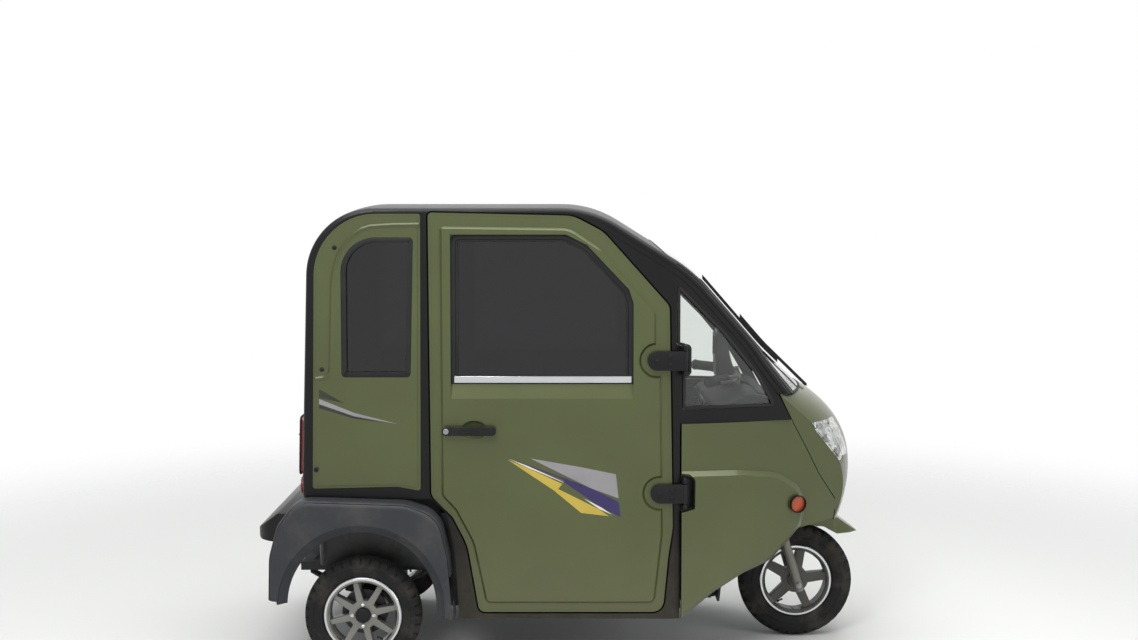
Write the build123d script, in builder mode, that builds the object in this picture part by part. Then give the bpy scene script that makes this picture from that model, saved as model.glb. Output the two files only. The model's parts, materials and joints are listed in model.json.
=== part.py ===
# Fully enclosed electric tricycle with one steered front wheel and two rear wheels.
# Millimetres. +X is forward, +Y is the vehicle's left, +Z is up from the ground.
from build123d import *
import math
import os

# Overall reach and clearances
BEAK_X = 1092.0          # tip of the front mudguard
BUMPER_X = -1092.0       # back of the rear bumper
ROOF_Z = 1640.0
FIT = 1.0                # gap between fixed panels that meet
RUN_GAP = 6.0            # gap round a moving panel

# Wheels
FRONT_AXLE_X = 861.0
REAR_AXLE_X = -721.0
TRACK = 840.0
FRONT_TYRE_R = 215.0
REAR_TYRE_R = 205.0
FRONT_TYRE_W = 92.0
REAR_TYRE_W = 86.0
BEAD_R = 127.0           # ten inch rim seat
FLANGE_R = 135.0
BARREL_R = 116.0
FRONT_RIM_W = 70.0
REAR_RIM_W = 66.0
LIP_T = 14.0
HUB_R = 50.0
SPOKE_D = 38.0           # depth of hub and spokes along the axle
# spokes: count, first one's angle, width at the hub, width at the rim
FRONT_SPOKES = (5, 7.0, 36.0, 30.0)
REAR_SPOKES = (8, 13.0, 24.0, 17.0)

# Steering: raked axis through the front axle
RAKE = 17.0
LEG_Y = 86.0
LEG_R = 17.0
AXLE_R = 8.0
AXLE_TUBE_R = 28.0
STEM_R = 15.0
HEAD_R = 30.0
CROWN_Z = 486.0
CROWN_T = 22.0
STEM_TOP_Z = 985.0
BAR_HALF = 270.0
BAR_SWEEP = 120.0        # grips lie this far behind the stem
BAR_R = 13.0
GRIP_R = 17.0
GRIP_L = 105.0
POD_HALF = 62.0
POD_ROWS = ((552.0, 990.0, 8.0), (625.0, 996.0, 8.0), (604.0, 1060.0, 40.0), (576.0, 1178.0, 8.0),
            (556.0, 1172.0, 6.0), (548.0, 1080.0, 30.0))

# Cab side planes: height, half width
SIDE_ROWS = ((200.0, 468.0), (ROOF_Z + 20.0, 432.0))
HINGE_POST_X = 366.0     # where the sides start to draw in towards the nose
NOSE_TAPER = 0.211
FRAME_INSET = 3.0        # the black frame lies this far behind the panels
SKIN = 30.0              # depth of doors and side walls
ROOF_T = 26.0
RIM_ROUND = 16.0         # rounding where roof and windshield turn into the sides
GLASS_T = 5.0
GLASS_INSET = 12.0
SHIELD_INSET = 2.0       # windshield lies this far behind the roof's surface

# Cab outline on the centreline and at the sides: x, z, corner radius
CAB_REAR_X = -925.0
CAB_HALF_Y = 475.0
ROOF_CROWN = 17.0
CENTRE_ROWS = (
    (CAB_REAR_X, 200.0, 0.0),
    (CAB_REAR_X, 700.0, 400.0),
    (-899.0, ROOF_Z, 235.0),
    (85.0, ROOF_Z, 380.0),
    (450.0, 1412.0, 500.0),
    (700.0, 1125.0, 500.0),
    (900.0, 935.0, 0.0),
    (900.0, 200.0, 0.0),
)
EDGE_ROWS = (
    (CAB_REAR_X, 200.0, 0.0),
    (CAB_REAR_X, 700.0, 400.0),
    (-899.0, ROOF_Z - ROOF_CROWN, 235.0),
    (73.0, ROOF_Z - ROOF_CROWN, 380.0),
    (413.0, 1412.0, 500.0),
    (629.0, 1166.0, 500.0),
    (749.0, 935.0, 0.0),
    (749.0, 200.0, 0.0),
)

# Where the cab's skin is cut, seen from the side: x, z
REAR_WALL_TOP = 1440.0
APRON_Z = 440.0
WALL_INNER_X = CAB_REAR_X + ROOF_T + 2.0
ROOF_CUT = ((-1000.0, REAR_WALL_TOP), (-800.0, REAR_WALL_TOP), (0.0, 1400.0), (390.0, 1400.0),
            (210.0, 1600.0), (210.0, 1700.0), (-1000.0, 1700.0))
REAR_WALL_CUT = ((-1000.0, APRON_Z), (WALL_INNER_X, APRON_Z), (WALL_INNER_X, 700.0),
                 (-800.0, REAR_WALL_TOP - FIT), (-1000.0, REAR_WALL_TOP - FIT))
COWL_Z = 975.0
WINDSHIELD_CUT = ((212.0, 1700.0), (212.0, 1601.0), (393.0, 1400.0), (600.0, COWL_Z + FIT),
                  (1000.0, COWL_Z + FIT), (1000.0, 1700.0))
BELT_Z = 882.0           # top of the green front side panel
SIDE_FRAME_CUT = (
    (-960.0, 633.0), (-935.0, 633.0), (-560.0, 621.0), (-480.0, 621.0), (-430.0, 590.0), (-398.0, 450.0),
    (-382.0, 200.0), (384.0, 200.0), (384.0, BELT_Z + FIT), (783.0, BELT_Z + FIT), (735.0, COWL_Z),
    (735.0, COWL_Z + FIT), (900.0, COWL_Z + FIT), (900.0, 1700.0), (-960.0, 1700.0),
)
GROOVE_CUT = ((130.0, 1700.0), (130.0, 1400.0), (560.0, COWL_Z), (900.0, COWL_Z), (900.0, 1700.0))

# Nose: height, crease x, crease y, centre x
NOSE_ROWS = (
    (180.0, 895.0, 240.0, 935.0),
    (490.0, 966.0, 212.0, 1012.0),
    (716.0, 978.0, 234.0, 1048.0),
    (866.0, 862.0, 300.0, 988.0),
    (975.0, 742.0, 375.0, 862.0),
)
SIDE_SWELL = 24.0        # the nose's sides bow out this far
NOSE_SKIN = 18.0
BULGE = 20.0             # lower front panel stands this far out
LEDGE = 16.0             # slope along the top of that panel
NOSE_LOW_Z = 490.0
# seam between the centre panel and the side panels: x, z
SEAM_ROWS = ((738.0, COWL_Z), (795.0, 866.0), (848.0, 771.0), (900.0, 672.0), (971.0, 568.0),
             (966.0, NOSE_LOW_Z))
HEADLAMP_ROWS = ((866.0, 854.0, 12.0), (936.0, 850.0, 12.0), (999.0, 716.0, 6.0), (980.0, 712.0, 8.0))
PANEL_ROWS = (
    (390.0, 199.0), (390.0, BELT_Z), (787.0, BELT_Z), (794.0, 866.0), (847.0, 771.0), (899.0, 672.0),
    (969.0, 568.0), (965.0, 500.0), (820.0, 478.0), (715.0, 372.0), (618.0, 340.0), (501.0, 280.0),
)
LOWER_ROWS = (
    (390.0, 199.0, 0.0), (390.0, 718.0, 0.0), (600.0, 712.0, 300.0), (740.0, 694.0, 160.0),
    (818.0, 640.0, 60.0), (852.0, 575.0, 40.0), (836.0, 492.0, 40.0), (768.0, 421.0, 40.0),
    (715.0, 372.0, 100.0), (618.0, 340.0, 100.0), (501.0, 280.0, 100.0),
)

# Side outlines: x, z, corner radius
DOOR_ROWS = (
    (-484.0, 1611.0, 14.0),
    (-477.0, 632.0, 40.0),
    (-402.0, 556.0, 70.0),
    (-352.0, 458.0, 200.0),
    (-312.0, 224.0, 24.0),
    (326.0, 224.0, 40.0),
    (345.0, 420.0, 200.0),
    (360.0, 520.0, 100.0),
    (346.0, 1290.0, 40.0),
    (118.0, 1545.0, 120.0),
    (14.0, 1600.0, 120.0),
)
DOOR_RAISED_ROWS = (
    (-444.0, 1564.0, 14.0),
    (-441.0, 633.0, 34.0),
    (-394.0, 583.0, 60.0),
    (-334.0, 469.0, 160.0),
    (-289.0, 256.0, 20.0),
    (299.0, 256.0, 26.0),
    (326.0, 500.0, 60.0),
    (318.0, 1080.0, 60.0),
    (300.0, 1160.0, 60.0),
    (300.0, 1270.0, 40.0),
    (108.0, 1487.0, 60.0),
    (2.0, 1558.0, 90.0),
)
DOOR_RECESS_ROWS = (
    (-407.0, 1536.0, 20.0),
    (-407.0, 1022.0, 4.0),
    (222.0, 1022.0, 4.0),
    (222.0, 1300.0, 30.0),
    (206.0, 1348.0, 30.0),
    (62.0, 1500.0, 70.0),
    (-10.0, 1536.0, 70.0),
)
DOOR_WINDOW_ROWS = (
    (-391.0, 1520.0, 14.0),
    (-391.0, 1042.0, 12.0),
    (206.0, 1042.0, 12.0),
    (206.0, 1296.0, 30.0),
    (192.0, 1340.0, 30.0),
    (54.0, 1486.0, 60.0),
    (-14.0, 1520.0, 60.0),
)
QUARTER_ROWS = (
    (-888.0, 657.0, 10.0),
    (-592.0, 664.0, 100.0),
    (-514.0, 649.0, 10.0),
    (-510.0, 1607.0, 10.0),
    (-874.0, 1607.0, 214.0),
)
# the raised area runs out past the panel's edges everywhere but at the top and round the window
QUARTER_RAISED_ROWS = (
    (-1000.0, 500.0, 0.0),
    (-1000.0, 1037.0, 0.0),
    (-819.0, 1042.0, 24.0),
    (-817.0, 1570.0, 190.0),
    (-400.0, 1576.0, 0.0),
    (-400.0, 500.0, 0.0),
)
QUARTER_WINDOW_ROWS = (
    (-784.0, 1045.0, 14.0),
    (-546.0, 1045.0, 14.0),
    (-535.0, 1526.0, 14.0),
    (-784.0, 1526.0, 120.0),
)
# a tab of the frame reaches forward between the last rows, for the upper hinge
FRONT_GLASS_ROWS = (
    (392.0, 932.0, 8.0),
    (716.0, 932.0, 8.0),
    (716.0, 952.0, 20.0),
    (660.0, 1052.0, 300.0),
    (540.0, 1198.0, 300.0),
    (372.0, 1366.0, 8.0),
    (372.0, 1158.0, 8.0),
    (412.0, 1146.0, 8.0),
    (412.0, 1060.0, 8.0),
    (392.0, 1050.0, 4.0),
)
EDGE_STEP = 10.0         # rebated border round doors and quarter panels
RAISE = 9.0              # inner areas stand this far out
DOOR_BEVEL = 8.0
QUARTER_BEVEL = 24.0
SILL_LOW_Z = 972.0       # sloped sill under the door window
SILL_X = (-406.0, 220.0)
PILLAR_GROOVES = (20.0, 37.0)
GROOVE_W = 3.0
GROOVE_DEPTH = 2.5

# Hinges and door handle
HINGE_X = 400.0
HINGE_OUT = 12.0         # pin stands off the side plane at the lower hinge
HINGE_PIN_R = 5.0
HINGE_BARREL_R = 9.0
HINGES = ((642.0, 315.0), (1104.0, 303.0))           # height, x of the strap's round end
STRAP_R = 33.0
STRAP_IN = 8.0           # the strap's faces from the pin, towards the door and away from it
STRAP_OUT = 6.0
PAD_R = 24.0
RECESS_R = 54.0
KNUCKLE = (38.0, 52.0)   # bracket arms above and below the hinge's middle
PLATE_T = 5.0
POCKET_INSET = 12.0      # depth of the lower bracket's pocket
POCKET_ROWS = (
    (386.0, 575.0, 0.0),
    (437.0, 586.0, 6.0),
    (438.0, 690.0, 24.0),
    (418.0, 708.0, 16.0),
    (386.0, 712.0, 0.0),
)
LOWER_PLATE_ROWS = ((388.0, 580.0, 4.0), (434.0, 590.0, 4.0), (434.0, 688.0, 20.0), (388.0, 707.0, 4.0))
UPPER_PLATE_ROWS = ((386.0, 1062.0, 6.0), (410.0, 1062.0, 6.0), (410.0, 1145.0, 6.0), (386.0, 1145.0, 6.0))
HANDLE_Z = 863.0
HANDLE_X = (-435.0, -251.0)
HANDLE_H = 30.0
HANDLE_T = 13.0
HANDLE_OFF = 24.0
POST_R = 12.0
POST_XS = (-422.0, -266.0)
CUP_X = -327.0
CUP_R = (46.0, 33.0)
CUP_DEPTH = 14.0
CUP_SLOPE = 11.0

# Rear wings
WING_Y = 530.0
WING_IN_Y = 440.0
WING_T = 5.0
WING_ROUND = 20.0
ARCH_X = -715.0
ARCH_Z = 258.0
ARCH_R = 287.0
ARCH_LIP = 30.0          # the arch turns in by this much
LIP_REACH = 27.0
WING_ROWS = (
    (-1036.0, 282.0, 0.0),
    (-1032.0, 430.0, 200.0),
    (-1002.0, 540.0, 120.0),
    (-935.0, 630.0, 90.0),
    (-560.0, 618.0, 110.0),
    (-446.0, 575.0, 110.0),
    (-412.0, 430.0, 200.0),
    (-394.0, 214.0, 0.0),
)

# Rear wall's window and holes, lamps, bumper
REAR_WINDOW_Z = (1040.0, 1400.0)
REAR_WINDOW_W = 680.0
REAR_WINDOW_R = 50.0
REAR_GLASS_INSET = 8.0
PLATE_PITCH = 170.0
PLATE_HOLE_Z = 655.0
PLATE_HOLE_R = 3.5
TAIL_LAMP_Y = 372.0
TAIL_LAMP_Z = 800.0
BUMPER_HALF = 430.0
BUMPER_TOP_Z = 566.0
BUMPER_LOW_Z = 452.0
BUMPER_ROUND = 60.0
BUMPER_ROWS = (
    (CAB_REAR_X - FIT, BUMPER_TOP_Z, 0.0),
    (BUMPER_X + 77.0, BUMPER_TOP_Z, 20.0),
    (BUMPER_X, 508.0, 16.0),
    (BUMPER_X, 470.0, 16.0),
    (CAB_REAR_X - FIT, BUMPER_LOW_Z, 0.0),
)

# Dashboard seen from the side: x, z, corner radius
DASH_HALF = 360.0
DASH_ROWS = ((582.0, 850.0, 10.0), (500.0, 866.0, 22.0), (512.0, 916.0, 30.0), (636.0, 974.0, 60.0),
             (735.0, 950.0, 20.0), (735.0, 850.0, 10.0))

# Floor and frame
FLOOR_Z = 262.0
FLOOR_T = 14.0
FLOOR_HALF = 405.0
RAIL_Z = 232.0
RAIL_W = 40.0
RAIL_H = 30.0
RAIL_Y = 250.0
DECK_Z = 634.0
DECK_T = 14.0
DECK_HALF = 420.0
TUB_HALF = 330.0
TUB_X = (-895.0, -436.0)
REAR_RAIL_Z = 335.0
DRUM_R = 80.0
DRUM_T = 36.0
MOTOR_R = 88.0
MOTOR_L = 190.0
LEAVES = ((215.0, 0.0), (150.0, 1.0), (90.0, 2.0))   # half length, place in the stack
LEAF_T = 8.0
LEAF_W = 44.0

# Front mudguard
GUARD_T = 4.0
GUARD_HALF = 62.0
# top line and skirt: z above the axle; x from the axle behind it, share of the beak's reach ahead of it
GUARD_REAR_TOP = ((-232.0, 62.0, 0.0), (-218.0, 160.0, 120.0), (-110.0, 243.0, 120.0))
GUARD_FRONT_TOP = ((0.17, 262.0, 160.0), (0.61, 255.0, 60.0), (1.0, 190.0, 0.0))
GUARD_FRONT_SKIRT = ((0.65, 186.0), (0.43, 214.0))
GUARD_REAR_SKIRT = ((0.0, 226.0), (-90.0, 196.0), (-160.0, 130.0), (-190.0, 62.0))

# Reflector on the front side panel, wiper
REFLECTOR = (816.0, 576.0, 28.0)                     # x, z, radius
WIPER_Y = -100.0


def outline(rows):
    """A closed outline from rows of x, z, corner radius."""
    points = [(x, z) for x, z, radius in rows]
    return FilletPolyline(*points, radius=[radius for x, z, radius in rows], close=True)


def half_width(z):
    """Half width of the cab's side plane at height z."""
    (z0, y0), (z1, y1) = SIDE_ROWS
    return y0 + (y1 - y0) * (z - z0) / (z1 - z0)


def side_plane(out=0.0):
    """The right-hand side plane, moved out by the given amount; its x and y run along X and up."""
    (z0, y0), (z1, y1) = SIDE_ROWS
    lean = math.atan((y0 - y1) / (z1 - z0))
    base = Plane(origin=(0.0, -half_width(0.0), 0.0), x_dir=(1.0, 0.0, 0.0),
                 z_dir=(0.0, -math.cos(lean), math.sin(lean)))
    return base.offset(out)


def side_prism(rows, near=300.0, far=600.0, grow=0.0):
    """The right-hand side's outline, pushed through the wall; grow widens it all round."""
    with BuildPart() as prism:
        with BuildSketch(Plane.XZ.offset(near)):
            with BuildLine():
                outline(rows)
            make_face()
            if grow:
                offset(amount=grow)
        extrude(amount=far - near)
    return prism.part


def raised_area(rows, bevel):
    """An outline that stands out of the side plane by RAISE, with a sloped edge of the given width."""
    with BuildPart() as area:
        with BuildSketch(side_plane()):
            with BuildLine():
                outline(rows)
            make_face()
        extrude(amount=RAISE, taper=math.degrees(math.atan(bevel / RAISE)))
        with BuildSketch(side_plane()):
            with BuildLine():
                outline(rows)
            make_face()
        extrude(amount=-SKIN / 2)
    return area.part


def side_block(inset):
    """The space between the two side planes, less inset on each side."""
    front_x = 1200.0
    drawn_in = NOSE_TAPER * (front_x - HINGE_POST_X)
    with BuildPart() as block:
        for z, half in SIDE_ROWS:
            edge = half - inset
            with BuildSketch(Plane.XY.offset(z)):
                Polygon(
                    (-1000.0, -edge), (HINGE_POST_X, -edge), (front_x, -edge + drawn_in),
                    (front_x, edge - drawn_in), (HINGE_POST_X, edge), (-1000.0, edge),
                    align=None,
                )
        loft(ruled=True)
    return block.part


def side_layer(rows, block, grow=0.0):
    """The part of a block that lies inside an outline of the right-hand side."""
    with BuildPart() as layer:
        add(side_prism(rows, grow=grow))
        add(block, mode=Mode.INTERSECT)
    return layer.part


def side_plate(rows, inset, thickness, grow=0.0):
    """A plate with an outline of the right-hand side, lying on the side block of the given inset."""
    with BuildPart() as plate:
        add(side_prism(rows, grow=grow))
        add(side_block(inset - thickness), mode=Mode.INTERSECT)
        add(side_block(inset), mode=Mode.SUBTRACT)
    return plate.part


def cab_form(inset):
    """The cab seen from the side, crowned across its width, less inset all round."""
    with BuildPart() as form:
        for y, rows in ((-CAB_HALF_Y, EDGE_ROWS), (0.0, CENTRE_ROWS), (CAB_HALF_Y, EDGE_ROWS)):
            with BuildSketch(Plane.XZ.offset(-y)):
                with BuildLine():
                    outline(rows)
                make_face()
                if inset:
                    offset(amount=-inset, kind=Kind.INTERSECTION)
        loft()
    return form.part


def cab_shell(outer_inset, inner_inset, rows):
    """The part of the cab's skin between two insets that lies inside an outline seen from the side."""
    with BuildPart() as shell:
        add(cab_form(outer_inset))
        add(cab_form(inner_inset), mode=Mode.SUBTRACT)
        with BuildSketch(Plane.XZ.offset(-CAB_HALF_Y - 25.0)):
            with BuildLine():
                Polyline(*rows, close=True)
            make_face()
        extrude(amount=2 * CAB_HALF_Y + 50.0, mode=Mode.INTERSECT)
    return shell.part


def nose_form(grow):
    """The nose from plan sections of one line and three arcs, made wider by grow."""
    with BuildPart() as form:
        for z, crease_x, crease_y, centre_x in NOSE_ROWS:
            side_y = half_width(z) + grow
            cx = crease_x + 0.6 * grow
            cy = crease_y + 0.8 * grow
            mid_x = (HINGE_POST_X + cx) / 2
            mid_y = (side_y + cy) / 2 + SIDE_SWELL
            with BuildSketch(Plane.XY.offset(z)):
                with BuildLine():
                    Line((HINGE_POST_X, side_y), (HINGE_POST_X, -side_y))
                    ThreePointArc((HINGE_POST_X, -side_y), (mid_x, -mid_y), (cx, -cy))
                    ThreePointArc((cx, -cy), (centre_x + grow, 0.0), (cx, cy))
                    ThreePointArc((cx, cy), (mid_x, mid_y), (HINGE_POST_X, side_y))
                make_face()
        loft()
    return form.part


def steer_x(z):
    """X of the raked steering axis at height z; it passes through the front axle."""
    return FRONT_AXLE_X - (z - FRONT_TYRE_R) * math.tan(math.radians(RAKE))


def steer_plane(z):
    """A plane square to the steering axis, with its origin on the axis at height z."""
    tilt = math.radians(RAKE)
    return Plane(origin=(steer_x(z), 0, z), x_dir=(math.cos(tilt), 0, math.sin(tilt)),
                 z_dir=(-math.sin(tilt), 0, math.cos(tilt)))


pieces = {}


def keep(name, part):
    """Labels a finished piece and remembers it for export."""
    part.label = name
    pieces[name] = part


def keep_pair(name, part):
    """Keeps a right-hand piece and its left-hand twin as two pieces."""
    keep(name + "_right", part)
    keep(name + "_left", mirror(part, about=Plane.XZ))


def keep_both(name, part):
    """Keeps a right-hand piece and its left-hand twin together under one name."""
    with BuildPart() as both:
        add(part)
        mirror(about=Plane.XZ)
    keep(name, both.part)


# Master forms that the panels are cut from
block_out = side_block(0.0)
block_skin = side_block(FRAME_INSET)
block_in = side_block(SKIN)
centre_block = side_block(SKIN + FIT)
nose_out = nose_form(0.0)
nose_in = nose_form(-NOSE_SKIN)
nose_wide = nose_form(BULGE)

# Cab with rounded edges where roof and windshield turn into the sides
with BuildPart() as cab_round:
    add(cab_form(0.0))
    add(block_skin, mode=Mode.INTERSECT)
    across = cab_round.edges().filter_by(GeomType.BSPLINE)
    fillet(across.filter_by(lambda edge: abs(edge.center().Y) > 330.0 and edge.center().Z > 210.0), RIM_ROUND)

# Side frame: the black ring round door, quarter panel and front glass, grooved along the pillar
with BuildPart() as pillar_groove:
    for inset in PILLAR_GROOVES:
        add(cab_shell(inset, inset + GROOVE_W, GROOVE_CUT))
    add(side_block(FRAME_INSET + GROOVE_DEPTH), mode=Mode.SUBTRACT)

with BuildPart() as side_frame:
    with BuildSketch(Plane.XZ.offset(300.0)):
        with BuildLine():
            Polyline(*SIDE_FRAME_CUT, close=True)
        make_face()
    extrude(amount=300.0)
    add(cab_round.part, mode=Mode.INTERSECT)
    add(block_in, mode=Mode.SUBTRACT)
    add(side_prism(DOOR_ROWS, grow=RUN_GAP), mode=Mode.SUBTRACT)
    add(side_prism(QUARTER_ROWS, grow=FIT), mode=Mode.SUBTRACT)
    add(side_prism(FRONT_GLASS_ROWS, grow=FIT), mode=Mode.SUBTRACT)
    add(pillar_groove.part, mode=Mode.SUBTRACT)
keep_pair("side_frame", side_frame.part)

# Rear quarter panel: rebated border, flange, raised area with a wide slope round the window
quarter_border = side_layer(QUARTER_ROWS, block_skin)
quarter_flange = side_layer(QUARTER_ROWS, block_out, grow=-EDGE_STEP)
quarter_raised = raised_area(QUARTER_RAISED_ROWS, QUARTER_BEVEL)
quarter_inside = side_prism(QUARTER_ROWS, grow=-2 * EDGE_STEP)
quarter_window = side_prism(QUARTER_WINDOW_ROWS)
with BuildPart() as rear_quarter:
    add(quarter_raised)
    add(quarter_inside, mode=Mode.INTERSECT)
    add(quarter_flange)
    add(quarter_border)
    add(block_in, mode=Mode.SUBTRACT)
    add(quarter_window, mode=Mode.SUBTRACT)
keep_both("rear_quarter_panels", rear_quarter.part)

glass_back = GLASS_INSET + GLASS_T
keep_both("rear_quarter_glass", side_plate(QUARTER_WINDOW_ROWS, glass_back, GLASS_T, grow=-FIT))
keep_both("front_quarter_glass", side_plate(FRONT_GLASS_ROWS, glass_back, GLASS_T))

# Door: rebated border, flange, raised area with hinge recesses, window recess, sill, handle cup
with BuildPart() as hinge_recess:
    for z, end_x in HINGES:
        with BuildSketch(side_plane()):
            with BuildLine():
                Line((HINGE_X, z - RECESS_R), (end_x, z - RECESS_R))
                ThreePointArc((end_x, z - RECESS_R), (end_x - RECESS_R, z), (end_x, z + RECESS_R))
                Line((end_x, z + RECESS_R), (HINGE_X, z + RECESS_R))
                Line((HINGE_X, z + RECESS_R), (HINGE_X, z - RECESS_R))
            make_face()
        extrude(amount=RAISE, taper=-math.degrees(math.atan(DOOR_BEVEL / RAISE)))

with BuildPart() as window_recess:
    add(side_prism(DOOR_RECESS_ROWS))
    add(block_skin, mode=Mode.SUBTRACT)

sill_z = DOOR_RECESS_ROWS[1][1]
sill_out = half_width(SILL_LOW_Z) + RAISE
with BuildPart() as sill_slope:
    with BuildSketch(Plane.YZ.offset(SILL_X[0])):
        with BuildLine():
            Polyline((-sill_out, SILL_LOW_Z), (-half_width(sill_z) + FRAME_INSET, sill_z),
                     (-sill_out - 20.0, sill_z), (-sill_out - 20.0, SILL_LOW_Z), close=True)
        make_face()
    extrude(amount=SILL_X[1] - SILL_X[0])

with BuildPart() as handle_cup:
    with BuildSketch(side_plane(RAISE)):
        with Locations((CUP_X, HANDLE_Z)):
            Ellipse(*CUP_R)
    with BuildSketch(side_plane(RAISE - CUP_DEPTH)):
        with Locations((CUP_X, HANDLE_Z)):
            Ellipse(CUP_R[0] - CUP_SLOPE, CUP_R[1] - CUP_SLOPE)
    loft()

door_border = side_layer(DOOR_ROWS, block_skin)
door_flange = side_layer(DOOR_ROWS, block_out, grow=-EDGE_STEP)
door_raised = raised_area(DOOR_RAISED_ROWS, DOOR_BEVEL)
door_window = side_prism(DOOR_WINDOW_ROWS)
with BuildPart() as door:
    add(door_raised)
    add(hinge_recess.part, mode=Mode.SUBTRACT)
    add(door_flange)
    add(door_border)
    add(block_in, mode=Mode.SUBTRACT)
    add(window_recess.part, mode=Mode.SUBTRACT)
    add(sill_slope.part, mode=Mode.SUBTRACT)
    add(door_window, mode=Mode.SUBTRACT)
    add(handle_cup.part, mode=Mode.SUBTRACT)
keep_pair("door", door.part)
keep_pair("door_glass", side_plate(DOOR_WINDOW_ROWS, glass_back, GLASS_T))

# Roof shell between the side frames, down the rear corner to the rear wall
with BuildPart() as roof:
    add(cab_shell(0.0, ROOF_T, ROOF_CUT))
    add(centre_block, mode=Mode.INTERSECT)
keep("roof", roof.part)

# Rear wall with its window and two plate holes
rear_window_z = sum(REAR_WINDOW_Z) / 2
rear_window_h = REAR_WINDOW_Z[1] - REAR_WINDOW_Z[0]
with BuildPart() as rear_wall:
    add(cab_shell(0.0, ROOF_T, REAR_WALL_CUT))
    add(centre_block, mode=Mode.INTERSECT)
    with BuildSketch(Plane.YZ.offset(-1000.0)):
        with Locations((0.0, rear_window_z)):
            RectangleRounded(REAR_WINDOW_W, rear_window_h, REAR_WINDOW_R)
        with Locations((-PLATE_PITCH / 2, PLATE_HOLE_Z), (PLATE_PITCH / 2, PLATE_HOLE_Z)):
            Circle(PLATE_HOLE_R)
    extrude(amount=300.0, mode=Mode.SUBTRACT)
keep("rear_wall", rear_wall.part)

with BuildPart() as rear_glass:
    add(cab_form(REAR_GLASS_INSET))
    add(cab_form(REAR_GLASS_INSET + GLASS_T), mode=Mode.SUBTRACT)
    with BuildSketch(Plane.YZ.offset(-1000.0)):
        with Locations((0.0, rear_window_z)):
            RectangleRounded(REAR_WINDOW_W - 2 * FIT, rear_window_h - 2 * FIT, REAR_WINDOW_R - FIT)
    extrude(amount=300.0, mode=Mode.INTERSECT)
keep("rear_glass", rear_glass.part)

# Windshield between the pillars
with BuildPart() as windshield:
    add(cab_shell(SHIELD_INSET, SHIELD_INSET + GLASS_T, WINDSHIELD_CUT))
    add(centre_block, mode=Mode.INTERSECT)
keep("windshield", windshield.part)

# Nose: centre panel ahead of the seams, side panels behind them
with BuildPart() as lamp_holes:
    add(side_prism(HEADLAMP_ROWS, near=120.0, grow=FIT))
    mirror(about=Plane.XZ)

with BuildPart() as nose_panel:
    add(nose_out)
    add(nose_in, mode=Mode.SUBTRACT)
    with BuildSketch(Plane.XZ.offset(-500.0)):
        with BuildLine():
            seam = [(x + 2 * FIT, z) for x, z in SEAM_ROWS]
            Polyline(*seam, (1100.0, NOSE_LOW_Z), (1100.0, COWL_Z), close=True)
        make_face()
    extrude(amount=1000.0, mode=Mode.INTERSECT)
    add(lamp_holes.part, mode=Mode.SUBTRACT)
keep("nose_panel", nose_panel.part)

with BuildPart() as headlamp:
    add(side_prism(HEADLAMP_ROWS, near=120.0))
    add(nose_form(-FIT), mode=Mode.INTERSECT)
    add(nose_form(-45.0), mode=Mode.SUBTRACT)
keep_both("headlamps", headlamp.part)

# Front side panel: its lower part stands out, with a sloped ledge along the top and a hinge pocket
with BuildPart() as lower:
    add(side_prism(LOWER_ROWS, near=100.0))
    add(nose_wide, mode=Mode.INTERSECT)
    skin = lower.faces().filter_by(GeomType.BSPLINE).sort_by(SortBy.AREA)[-1]
    chamfer(skin.edges().filter_by(lambda edge: edge.center().Z > 560.0 and edge.center().X > 391.0), LEDGE)

pocket_floor = side_block(POCKET_INSET)
with BuildPart() as hinge_pocket:
    add(side_prism(POCKET_ROWS))
    add(pocket_floor, mode=Mode.SUBTRACT)

with BuildPart() as front_side:
    with BuildSketch(Plane.XZ.offset(100.0)):
        with BuildLine():
            Polyline(*PANEL_ROWS, close=True)
        make_face()
    extrude(amount=500.0)
    add(nose_out, mode=Mode.INTERSECT)
    add(lower.part)
    add(nose_in, mode=Mode.SUBTRACT)
    add(hinge_pocket.part, mode=Mode.SUBTRACT)
keep_pair("front_side", front_side.part)

# Rear wings: hollow plastic shells with a round arch and a lip that turns in
foot_front = WING_ROWS[-1]
with BuildPart() as arch_lip:
    with BuildSketch(Plane(origin=(ARCH_X, 0.0, ARCH_Z), x_dir=(0, 1, 0), z_dir=(1, 0, 0))):
        with BuildLine():
            Polyline((-WING_Y + 0.5, ARCH_R - 2.0), (-WING_Y + LIP_REACH, ARCH_R - ARCH_LIP),
                     (-WING_Y + LIP_REACH, ARCH_R - ARCH_LIP + 7.0), (-WING_Y + WING_T - 0.5, ARCH_R + 4.0),
                     close=True)
        make_face()
    revolve(axis=Axis((ARCH_X, 0.0, ARCH_Z), (0, 1, 0)))
    with BuildSketch(Plane.XZ.offset(300.0)):
        with BuildLine():
            Polyline((-1100.0, 268.0), (-900.0, 268.0), (ARCH_X, foot_front[1]), (-300.0, foot_front[1]),
                     (-300.0, 900.0), (-1100.0, 900.0), close=True)
        make_face()
    extrude(amount=400.0, mode=Mode.INTERSECT)


def wing_outline():
    """The wing seen from the side, open corners at its two feet."""
    corners = [(x, z) for x, z, radius in WING_ROWS]
    FilletPolyline(*corners, radius=[radius for x, z, radius in WING_ROWS[1:-1]])
    Line(corners[-1], corners[0])


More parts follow.
